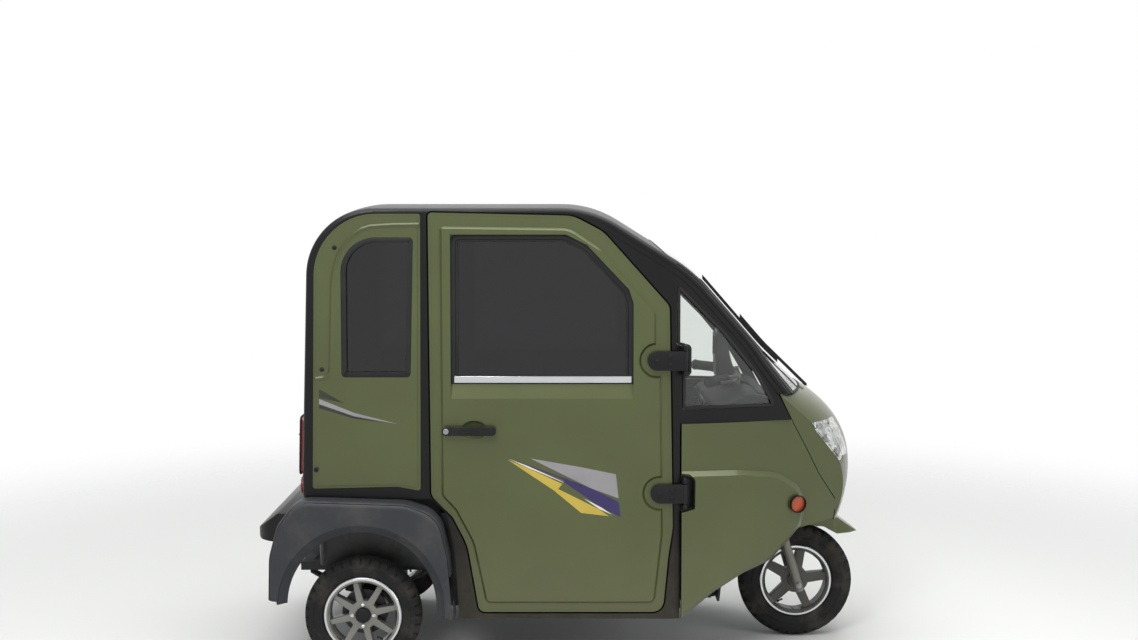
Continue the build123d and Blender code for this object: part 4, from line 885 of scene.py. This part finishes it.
# %% Pressed step, splash guard
STEP_LINE = ((-514, 1566), (-600, 1565), (-681, 1560), (-709, 1551), (-733, 1536),
             (-757, 1514), (-776, 1488), (-790, 1460), (-799, 1431), (-807, 1390),
             (-810, 1352), (-814, 1205), (-818, 1080), (-820, 1064), (-826, 1051),
             (-836, 1043), (-850, 1039), (-872, 1036))
STEP_ROWS = ((8, -0.6), (-5, 5.5), (-11, -0.6))   # outwards from the line, out of the panel, in mm
step = start("grid", "quarter_step_right", x_subdivisions=len(STEP_LINE) - 1, y_subdivisions=2)
LINE = [Vector(point) for point in STEP_LINE]
for index, (before, here, after) in enumerate(zip(LINE[:1] + LINE, LINE, LINE[1:] + LINE[-1:])):
    along = (after - before).normalized()
    for row, (aside, out) in enumerate(STEP_ROWS):
        x, z = here + Vector((along.y, -along.x)) * -aside
        step.data.vertices[row * len(LINE) + index].co = mm(*lean_out(x, z, out))
work_on(step, edit=True)
bpy.ops.mesh.normals_make_consistent(inside=False)
leave()
modify(step, "SOLIDIFY", thickness=1 * MM, offset=-1)
pair(settle(step, "body", "body_paint", olive_paint, smooth=28))
guard = soft_box("wheel_splash_guard_right", (-410, -424, 400), (76, 4, 330), 1.5)
pair(settle(guard, "body", "dark_plastic", black_abs))

# %% [markdown]
# Tyres are turned from one section: bead, rim protector, a sidewall with two fine rings, a rounded
# shoulder and a tread with three grooves round it. The cross grooves are made as by hand: every fourth
# face of a shoulder or rib is selected by its angle and pushed in. Each tyre stays inside its solid.

# %% Tyres
STEPS = 144
FRONT_HUB = (861, 0, 215)
REAR_HUB = (-721, -420, 205)


def grooved_tyre(name, radius, width, centre):
    """A tyre with ribs, shoulder blocks and sidewall rings; its axle lies along Y."""
    half = width / 2
    flank = [(128.5, half - 13), (139, half - 14), (142, half - 9), (150, half - 5),
             (161, half - 1.2), (167, half - 0.6), (168.5, half - 2), (172, half - 2),
             (173.5, half - 0.6), (radius - 28, half - 1.2), (radius - 19, half - 3.4),
             (radius - 8, half - 9.5), (radius - 3, half - 17)]
    crown = [(radius - 2, half * 0.52), (radius - 8, half * 0.50), (radius - 8, half * 0.40),
             (radius - 0.9, half * 0.38), (radius - 0.5, half * 0.14), (radius - 7, half * 0.11)]
    rows = flank + crown + [(r, -y) for r, y in reversed(crown)] + [(r, -y) for r, y in reversed(flank)]
    piece = spun(name, rows, centre, steps=STEPS)
    work_on(piece, edit=True)

    def block_gap(face):
        """True on the cross grooves: every fourth step, set off by half a pitch on the other side."""
        middle = face.calc_center_median()
        reach = math.hypot(middle.x, middle.y) / MM
        if reach < radius - 14:
            return False
        across = abs(middle.z) / MM
        step = round((math.degrees(math.atan2(middle.y, middle.x)) % 360) / 360 * STEPS - 0.5)
        shift = 0 if middle.z > 0 else 2
        if across > half * 0.53:
            return (step + shift) % 4 == 0
        return half * 0.15 < across < half * 0.37 and (step + shift + 1) % 8 == 0

    count = pick(piece, "FACE", block_gap)
    bpy.ops.mesh.extrude_region_shrink_fatten(TRANSFORM_OT_shrink_fatten={"value": -4.5 * MM})
    leave()
    print(name, count, "groove faces,", len(piece.data.polygons), "faces")
    return piece


TYRES = (   # solid, radius, width, centre, body
    ("front_tyre", 215, 92, FRONT_HUB, "front_wheel"),
    ("rear_tyre_right", 205, 86, REAR_HUB, "rear_wheel_right"),
    ("rear_tyre_left", 205, 86, (REAR_HUB[0], -REAR_HUB[1], REAR_HUB[2]), "rear_wheel_left"),
)
for node, radius, width, centre, body in TYRES:
    piece = grooved_tyre(node + "_shown", radius - 0.2, width - 0.4, centre)
    settle(piece, body, "tyre_rubber", tyre_rubber, smooth=30)
    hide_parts(node)

# %% [markdown]
# The wheels get what is bolted to them. At the rear a black cap covers the hub between four chromed nuts,
# and a polished lip runs round the casting. The front wheel has a spindle nut and a polished lip on each
# side. Every wheel has a valve.

# %% Hub caps, nuts, lips, valves
AXLE_X, AXLE_Y, AXLE_Z = REAR_HUB
HUB_FACE_Y = AXLE_Y - 19
REAR_CAP = ((0, 0), (27.5, 0), (27.5, 6), (25, 11), (18, 14), (8, 15.2), (0, 15.2))
NUT_RING = 38
LIP = ((116.5, 24.8), (121.5, 32.6), (133.5, 33.4), (134.9, 31), (136, 33.2), (133.8, 34.8),
       (121, 34.4), (115, 25.6))
hub_cap = settle(spun("rear_hub_cap_right", REAR_CAP, (AXLE_X, HUB_FACE_Y, AXLE_Z), steps=40),
                 "rear_wheel_right", "dark_plastic", black_abs)
pair(hub_cap)
lip = settle(spun("rear_rim_lip_right", [(r, y - 1.6) for r, y in LIP], REAR_HUB, steps=96),
             "rear_wheel_right", "cast_rim", bright_metal)
pair(lip)


def wheel_nut(name, x, y, z, out):
    """A hexagonal nut with a chamfered crown and a stud end, pointing along out (-1 or 1 on Y)."""
    nut = start("cylinder", name, vertices=6, radius=8 * MM, depth=8 * MM)
    work_on(nut, edit=True)
    pick(nut, "FACE", lambda face: face.normal.z > 0.9)
    inset(1.2)
    move(0, 0, 1.4)
    inset(2)
    extrude(0, 0, 3)
    bpy.ops.transform.resize(value=(0.8, 0.8, 1))
    leave()
    return placed(nut, (x, y, z), (0, out, 0))


first_nut = settle(wheel_nut("rear_wheel_nut_right_1", AXLE_X + NUT_RING, HUB_FACE_Y - 2.5, AXLE_Z, -1),
                   "rear_wheel_right", "cast_rim", bright_metal)
to_hub = Matrix.Translation(mm(AXLE_X, 0, AXLE_Z))
quarter_turns = [Matrix.Rotation(math.pi / 2 * count, 4, "Y") for count in (1, 2, 3)]
nuts = repeated(first_nut, [to_hub @ turn @ to_hub.inverted() for turn in quarter_turns])

BOSS = ((16, 19), (30, 19), (30, 22), (26, 25), (16, 25))
for side, out in (("right", -1), ("left", 1)):
    front_lip = spun("front_rim_lip_" + side, [(r, y + 0.4) for r, y in LIP], FRONT_HUB, (0, out, 0), 96)
    settle(front_lip, "front_wheel", "cast_rim", bright_metal)
    spindle_nut = wheel_nut("front_spindle_nut_" + side, FRONT_HUB[0], out * 105.5, FRONT_HUB[2], out)
    spindle_nut.scale = (1.5, 1.5, 1)
    settle(spindle_nut, "steering", "cast_rim", turned_steel)
    settle(spun("front_hub_boss_" + side, BOSS, FRONT_HUB, (0, out, 0), 36),
           "front_wheel", "cast_rim", grey_casting)

VALVE = ((0, 0), (4, 0), (4.4, 6), (3, 9), (3, 22), (3.6, 22), (3.6, 30), (2.4, 31.5), (0, 31.5))
ASIDE, DOWN = 108 * 0.6, 108 * 0.8   # from the axle to a valve's foot
VALVES = (   # name, foot, aim, body
    ("front_valve", (FRONT_HUB[0] - ASIDE, -14, FRONT_HUB[2] - DOWN), (0.45, -0.75, 0.5), "front_wheel"),
    ("rear_valve_right", (AXLE_X + ASIDE, -438, AXLE_Z - DOWN), (-0.4, -0.8, 0.5), "rear_wheel_right"),
)
for name, centre, aim, body in VALVES:
    valve = settle(spun(name, VALVE, centre, aim, 16), body, "tyre_rubber", seal_rubber)
    if name.endswith("_right"):
        pair(valve)
print(len(nuts) * 2, "wheel nuts")

# %% [markdown]
# The seats are foam blocks sewn into black vinyl. Each pad starts a little small, is remeshed to an even
# net and blown up by cloth pressure, so its faces crown between the corners as stuffed vinyl does. The
# side that is screwed to its board is pinned. The sewn channels are pressed in after that.

# %% Padded seats
PAD_FRAMES = 20


def pad(name, centre, size, corner, axis, board, cap):
    """A stuffed pad with corners rounded about one axis; board is the sign of its pinned side, all in mm."""
    piece = start("cube", name, size=1)
    piece.scale = mm(*size)
    bpy.ops.object.transform_apply(location=False, rotation=False, scale=True)
    work_on(piece, edit=True)
    along = Vector([float(index == axis) for index in range(3)])
    pick(piece, "EDGE", lambda edge: abs((edge.verts[0].co - edge.verts[1].co).normalized().dot(along)) > 0.9)
    bpy.ops.mesh.bevel(offset=corner * MM, segments=6, affect="EDGES")
    pick(piece, "FACE", lambda face: abs(face.normal[axis]) > 0.9)
    bpy.ops.mesh.bevel(offset=18 * MM, segments=3, affect="EDGES")
    leave()
    piece.location = mm(*centre)
    bpy.ops.object.transform_apply(location=True, rotation=False, scale=False)
    modify(piece, "REMESH", mode="VOXEL", voxel_size=8 * MM)
    rest = [vertex.co.copy() for vertex in piece.data.vertices]
    edge = (centre[axis] + board * size[axis] / 2) * MM
    pinned = piece.vertex_groups.new(name="board")
    near = [index for index, place in enumerate(rest) if abs(place[axis] - edge) < 5 * MM]
    pinned.add(near, 1, "REPLACE")
    work_on(piece)
    cloth = piece.modifiers.new("cloth", "CLOTH")
    cloth.settings.use_pressure = True
    cloth.settings.uniform_pressure_force = 4
    cloth.settings.vertex_group_mass = "board"
    cloth.settings.effector_weights.gravity = 0
    for step in range(1, PAD_FRAMES + 1):
        bpy.context.scene.frame_set(step)
    bpy.ops.object.modifier_apply(modifier="cloth")
    bpy.context.scene.frame_set(1)
    for vertex, place in zip(piece.data.vertices, rest):
        moved = vertex.co - place
        if moved.length > cap * MM:
            vertex.co = place + moved.normalized() * cap * MM
    piece.vertex_groups.clear()
    modify(piece, "SUBSURF", levels=1)
    return piece


def channels(piece, seams, facing, depth=6, width=7):
    """Sews channels into the side that looks along facing; a seam is an axis, a place and a range in mm."""
    out = Vector(facing)
    tilts = [max(0, vertex.normal.dot(out)) for vertex in piece.data.vertices]
    for vertex, tilt in zip(piece.data.vertices, tilts):
        here = vertex.co / MM
        pull = 0
        for axis, place, other, low, high in seams:
            fade = min(1, max(0, (here[other] - low) / 20), max(0, (high - here[other]) / 20))
            pull = max(pull, fade * math.exp(-((here[axis] - place) / width) ** 2))
        vertex.co -= out * tilt * pull * depth * MM


def welt(source, name, at, facing, radius=3.5):
    """The piping where a plane cuts a pad: the cut line becomes a round cord."""
    piece = work_on(own_copy(source, name), edit=True)
    bpy.ops.mesh.bisect(plane_co=mm(*at), plane_no=facing, clear_inner=True, clear_outer=True)
    leave()
    return tube(piece, radius, resolution=1)


SEAT_TOP = (0, 0, 1)
SEAT_FRONT = (1, 0, 0)
CUSHION_SEAMS = [(1, y, 0, -95, 215) for y in (-255, -85, 85, 255)]
BENCH_SEAMS = [(1, y, 0, -690, -450) for y in (-285, -95, 95, 285)]
BACK_SEAMS = [(2, z, 1, -250, 250) for z in (770, 860, 950)]
BENCH_BACK_SEAMS = [(1, y, 2, 700, 985) for y in (-285, -95, 95, 285)]
PADS = (   # name, centre, size, corner, thin axis, pinned side, cap, seams, facing, piping at, solid
    ("driver_cushion", (60, 0, 656), (362, 662, 80), 62, 2, -1, 9, CUSHION_SEAMS, SEAT_TOP,
     (0, 0, 688), "driver_seat"),
    ("driver_backrest", (-148, 0, 872), (72, 640, 404), 110, 0, -1, 10, BACK_SEAMS,
     SEAT_FRONT, (-122, 0, 0), "driver_seat"),
    ("bench_cushion", (-570, 0, 676), (302, 742, 80), 46, 2, -1, 9, BENCH_SEAMS, SEAT_TOP,
     (0, 0, 708), "rear_bench"),
    ("bench_backrest", (-761, 0, 850), (68, 742, 362), 80, 0, -1, 9, BENCH_BACK_SEAMS,
     SEAT_FRONT, (-736, 0, 0), "rear_bench"),
)
for name, centre, size, corner, axis, board, cap, seams, facing, at, node in PADS:
    piece = pad(name, centre, size, corner, axis, board, cap)
    channels(piece, seams, facing)
    settle(piece, "body", "seat_cover", seat_vinyl, smooth=80)
    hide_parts(node)
    settle(welt(piece, name + "_piping", at, facing), "body", "seat_cover", seat_piping, smooth=80)
    print(name, len(piece.data.vertices), "points", [round(side / MM, 1) for side in piece.dimensions])

# %% [markdown]
# The driver's seat stands on a folded steel box with a pressed field in each side, and its backrest is
# carried by two flat arms on a moulded board.

# %% Seat box, backrest arms
box = soft_box("driver_seat_box", (60, 0, 440), (300, 640, 349), 6)
work_on(box, edit=True)
pick(box, "FACE", lambda face: abs(face.normal.z) < 0.1 and face.calc_area() > 0.05)
inset(34, use_individual=True)
inset(8, depth=-7 * MM, use_individual=True)
leave()
settle(box, "body", "frame_steel", chassis_enamel)
back_board = soft_box("driver_backrest_board", (-188, 0, 862), (8, 600, 350), 3.5)
settle(back_board, "body", "dark_plastic", black_abs)
arm = [soft_box("backrest_upright", (-176, -306, 705), (34, 5, 250), 2.2),
       soft_box("backrest_foot", (-118, -305, 597), (150, 5, 34), 2.2)]
pair(settle(joined("driver_backrest_arm_right", *arm), "body", "frame_steel", chassis_enamel))

# %% [markdown]
# The dashboard carries two round vents with slats, a blank switch panel with four rockers and a slotted
# grille under the windshield. The handlebar's pod gets its display behind a raised bezel.

# %% Dashboard and pod fittings
def in_a_row(piece, count, step):
    """A piece repeated along Y, with a step in mm."""
    place_into_mesh()
    modify(piece, "ARRAY", count=count, use_relative_offset=False, use_constant_offset=True,
           constant_offset_displace=mm(0, step, 0))
    return piece


VENT_RING = ((16, -3), (23, -3), (24, 3), (22, 5.5), (19, 5.5), (17.5, 3.5), (16, 0.5))
BACKWARDS = (-1, 0, 0)
vent = [spun("dash_vent_ring", VENT_RING, (505, -300, 890), BACKWARDS, 32)]
for z in (-10, 0, 10):
    reach = 2 * math.sqrt(17 ** 2 - z ** 2)
    vent.append(soft_box("dash_vent_slat", (505, -300, 890 + z), (8, reach, 2.4), 0.6, (0, 20, 0)))
vent = settle(joined("dash_vent_right", *vent), "body", "dark_plastic", black_abs)
copied(vent, "dash_vent_left", "body", MIRROR)
switches = [soft_box("dash_switch_plate", (505.5, 0, 890), (6, 250, 40), 2.5)]
for y in (-90, -30, 30, 90):
    switches.append(soft_box("dash_rocker", (501, y, 890), (6, 22, 28), 2, (0, 8, 0)))
settle(joined("dash_switch_panel", *switches), "body", "dark_plastic", black_abs)
grille = soft_box("dash_defroster_grille", (700, -260, 960), (50, 9, 5), 1.2, (0, 14, 0))
settle(in_a_row(grille, 30, 18), "body", "dark_plastic", black_abs)
display = soft_box("pod_display", (549.5, 0, 1112), (5, 98, 74), 2)
settle(display, "steering", "dark_plastic", black_gloss)
bezel = soft_box("pod_bezel", (550, 0, 1112), (8, 114, 90), 3)
work_on(bezel, edit=True)
pick(bezel, "FACE", lambda face: abs(face.normal.x) > 0.9 and face.calc_area() > 0.004)
inset(7, use_individual=True)
bpy.ops.mesh.bridge_edge_loops()
leave()
settle(bezel, "steering", "dark_plastic", black_abs)

# %% [markdown]
# Ribbed rubber grips slide over the bar's swept ends, and a pressed brake lever hangs in front of each.

# %% Grips, levers, pedal
BAR_END = Vector((499.5, -270, 1005))
INWARD = Vector((120, 135, 0)).normalized()
GRIP = [(10, -1), (20, -1), (21, 1.5), (20, 4)]
for rib in range(11):
    at = 10 + rib * 8
    GRIP += [(17.6, at), (19, at + 2), (19, at + 5), (17.6, at + 7)]
GRIP += [(20.5, 99), (20.5, 104), (10, 104)]
grip = spun("handlebar_grip_right", GRIP, BAR_END, INWARD, 32)
grip = settle(grip, "steering", "dark_plastic", floor_rubber)
copied(grip, "handlebar_grip_left", "steering", MIRROR)
LEVER_RUN = ((40, 20), (70, 32), (108, 30), (150, 16))   # along the bar, in front of it
AHEAD = Vector((INWARD.y, -INWARD.x, 0))
LEVER_START = BAR_END - Vector((0, 0, 4))
lever_points = [LEVER_START + INWARD * along + AHEAD * ahead for along, ahead in LEVER_RUN]
lever = drawn("brake_lever_right", lever_points + [LEVER_START])
work_on(lever, edit=True)
pick(lever, "VERT", lambda vertex: vertex.index == len(LEVER_RUN))
bpy.ops.mesh.delete(type="VERT")
leave()
modify(lever, "SUBSURF", levels=2)
lever = settle(tube(lever, 5, caps=True), "steering", "cast_rim", grey_casting)
copied(lever, "brake_lever_left", "steering", MIRROR)
pedal = [soft_box("pedal_pad", (462, -170, 352), (12, 78, 62), 4, (0, -35, 0)),
         soft_box("pedal_arm", (494, -170, 400), (84, 12, 22), 3, (0, -58, 0))]
settle(joined("brake_pedal", *pedal), "body", "frame_steel", chassis_enamel)

# %% [markdown]
# The floor is covered by two ribbed rubber mats, whose ribs are one bar in an array. Each door has a lining
# cut from the door's own inner skin.

# %% Mats, door linings
MATS = (("floor_mat_front", 365, 270, 350), ("floor_mat_rear", -250, 290, 370))
for name, x, depth, half in MATS:   # middle, depth, half width
    sheet = soft_box("mat_sheet", (x, 0, 265), (depth, 2 * half, 4), 1.5)
    rib = soft_box("mat_rib", (x, -half + 20, 268), (depth - 24, 7, 4), 1.2)
    ribs = in_a_row(rib, int((2 * half - 40) / 20) + 1, 20)
    settle(joined(name, sheet, ribs), "body", "dark_plastic", floor_rubber)
CARD = ((-400, 660), (-330, 560), (-250, 300), (290, 300), (300, 980), (-400, 980))
card = cut_patch("door_right", "door_lining_right", CARD, 1.5, thick=3, facing=0.85, look=(0, 1, 0))
pair(settle(card, "door_right", "dark_plastic", door_lining))
print("door lining", [round(side / MM) for side in card.dimensions], len(card.data.polygons), "faces")

# %% [markdown]
# The back is not in the photograph, so it follows the type: a rubber surround and two black bars divide
# each tail lamp, a lamp over the plate holes lights the plate, and two round reflectors sit below.

# %% Back of the cab
settle(rim_cord("tail_lamps", "tail_lamp_surrounds", BACKWARDS, 4, (2, 0, 0)), "body", "dark_plastic",
       seal_rubber)
low, high = [Vector(corner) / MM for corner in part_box("tail_lamps")]
for z in (770, 840):
    bar = soft_box(f"tail_lamp_bar_{z:.0f}_right", (low.x + 3, -372, z), (8, 78, 5), 1.5)
    pair(settle(bar, "body", "dark_plastic", black_abs))
WALL_X = low.x + 4
plate_lamp = soft_box("plate_lamp", (WALL_X - 6, 0, 716), (22, 110, 24), 6)
settle(plate_lamp, "body", "dark_plastic", black_abs)
REAR_REFLECTOR = ((0, 5), (24, 3.6), (25, 2.4), (28, 3.6), (30, 2), (30, -6), (0, -6))
rear_reflector = spun("rear_reflector_right", REAR_REFLECTOR, (WALL_X, -372, 655), BACKWARDS, 36)
pair(settle(rear_reflector, "body", "red_lens", red_lens))
print("tail lamps", [round(value) for value in (*low, *high)])

# %% [markdown]
# Under the deck each leaf spring is clamped to the axle tube by two U-bolts over a plate. The battery tub
# is held by two steel straps, and the motor's housing has turned cooling ribs.

# %% Springs, straps, motor ribs
low, high = [Vector(corner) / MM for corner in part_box("leaf_springs")]
SPRING_Y = -250
U_BOLT = ((-26, -46), (-26, 18), (0, 34), (26, 18), (26, -46))
for end, x in (("rear", -28), ("front", 28)):
    run = [(AXLE_X + x, SPRING_Y + y, AXLE_Z + 34 + z) for y, z in U_BOLT]
    rod = work_on(drawn(f"spring_u_bolt_{end}_right", run), edit=True)
    pick(rod, "EDGE", lambda edge: abs(edge.verts[0].co.z - edge.verts[1].co.z) < 1 * MM)
    bpy.ops.mesh.delete(type="EDGE_FACE")
    leave()
    pair(settle(tube(rod, 5, caps=True), "body", "frame_steel", turned_steel))
plate = soft_box("spring_plate_right", (AXLE_X, SPRING_Y, AXLE_Z - 34), (92, 74, 8), 2)
pair(settle(plate, "body", "frame_steel", chassis_enamel))
for end, x in (("rear", -800), ("front", -560)):
    strap = soft_box("battery_strap_" + end, (x, 0, 349.5), (34, 640, 3), 1)
    settle(strap, "body", "frame_steel", turned_steel)
RIBS = []
for rib in range(9):
    at = 10 * rib - 40
    RIBS += [(89, at - 2.5), (95, at - 1.5), (95, at + 1.5), (89, at + 2.5)]
RIBS += [(80, 44), (80, -44)]
ribs = spun("motor_cooling_ribs", RIBS, (AXLE_X, 40, AXLE_Z), (0, 1, 0), 64)
settle(ribs, "body", "frame_steel", grey_casting)
print("spring top", round(high.z))

# %% [markdown]
# The stage is a pale round floor that fades out at its rim into the white world, so no horizon shows
# from any side. The world is white to the camera, to mirrors and through glass, and gives softer light.

# %% Stage and light
bpy.ops.object.select_all(action="DESELECT")
bpy.ops.mesh.primitive_circle_add(vertices=96, radius=14, fill_type="NGON")
floor = bpy.context.object
floor.name = "studio_floor"
floor_finish, tree, shader, place = new_material("matt_pale_floor", Roughness=0.9)
shader.inputs["Base Color"].default_value = linear("#D9D9D6")
reach = put(tree, "VectorMath", {0: place}, operation="LENGTH")
fade = spread(tree, reach.outputs["Value"], 1.8, 5, 0, 1, interpolation_type="SMOOTHSTEP")
see_through = put(tree, "BsdfTransparent")
mixed = put(tree, "MixShader", {0: fade, 1: shader.outputs[0], 2: see_through.outputs[0]})
tree.links.new(mixed.outputs[0], tree.nodes["Material Output"].inputs["Surface"])
floor.data.materials.append(floor_finish)

world = bpy.data.worlds.new("studio")
bpy.context.scene.world = world
world.use_nodes = True
tree = world.node_tree
rays = put(tree, "LightPath")
seen = put(tree, "Math", {0: rays.outputs["Is Camera Ray"], 1: rays.outputs["Is Glossy Ray"]},
           operation="MAXIMUM")
seen = put(tree, "Math", {0: seen.outputs[0], 1: rays.outputs["Is Transmission Ray"]},
           operation="MAXIMUM")
soft = put(tree, "Background", {"Color": linear("#E9EDF2"), "Strength": 0.45})
white = put(tree, "Background", {"Color": (1, 1, 1, 1), "Strength": 1})
both = put(tree, "MixShader", {0: seen.outputs[0], 1: soft.outputs[0], 2: white.outputs[0]})
tree.links.new(both.outputs[0], tree.nodes["World Output"].inputs["Surface"])

LAMPS = (   # name, place, aimed at, size, watts
    ("sky_panel", (0, -0.5, 4.2), (0, 0, 0.8), 5, 260),
    ("side_panel", (-2.2, -5.6, 5.2), (0, 0, 0.9), 1.8, 150),
    ("front_panel", (5, -3.6, 2.4), (0.3, 0, 0.9), 2.4, 55),
)
for name, place, target, size, watts in LAMPS:
    aim = Vector(target) - Vector(place)
    bpy.ops.object.light_add(type="AREA", location=place, rotation=aim.to_track_quat("-Z", "Y").to_euler())
    lamp = bpy.context.object
    lamp.name = name
    lamp.data.size = size
    lamp.data.energy = watts
print(len(LAMPS), "lamps")
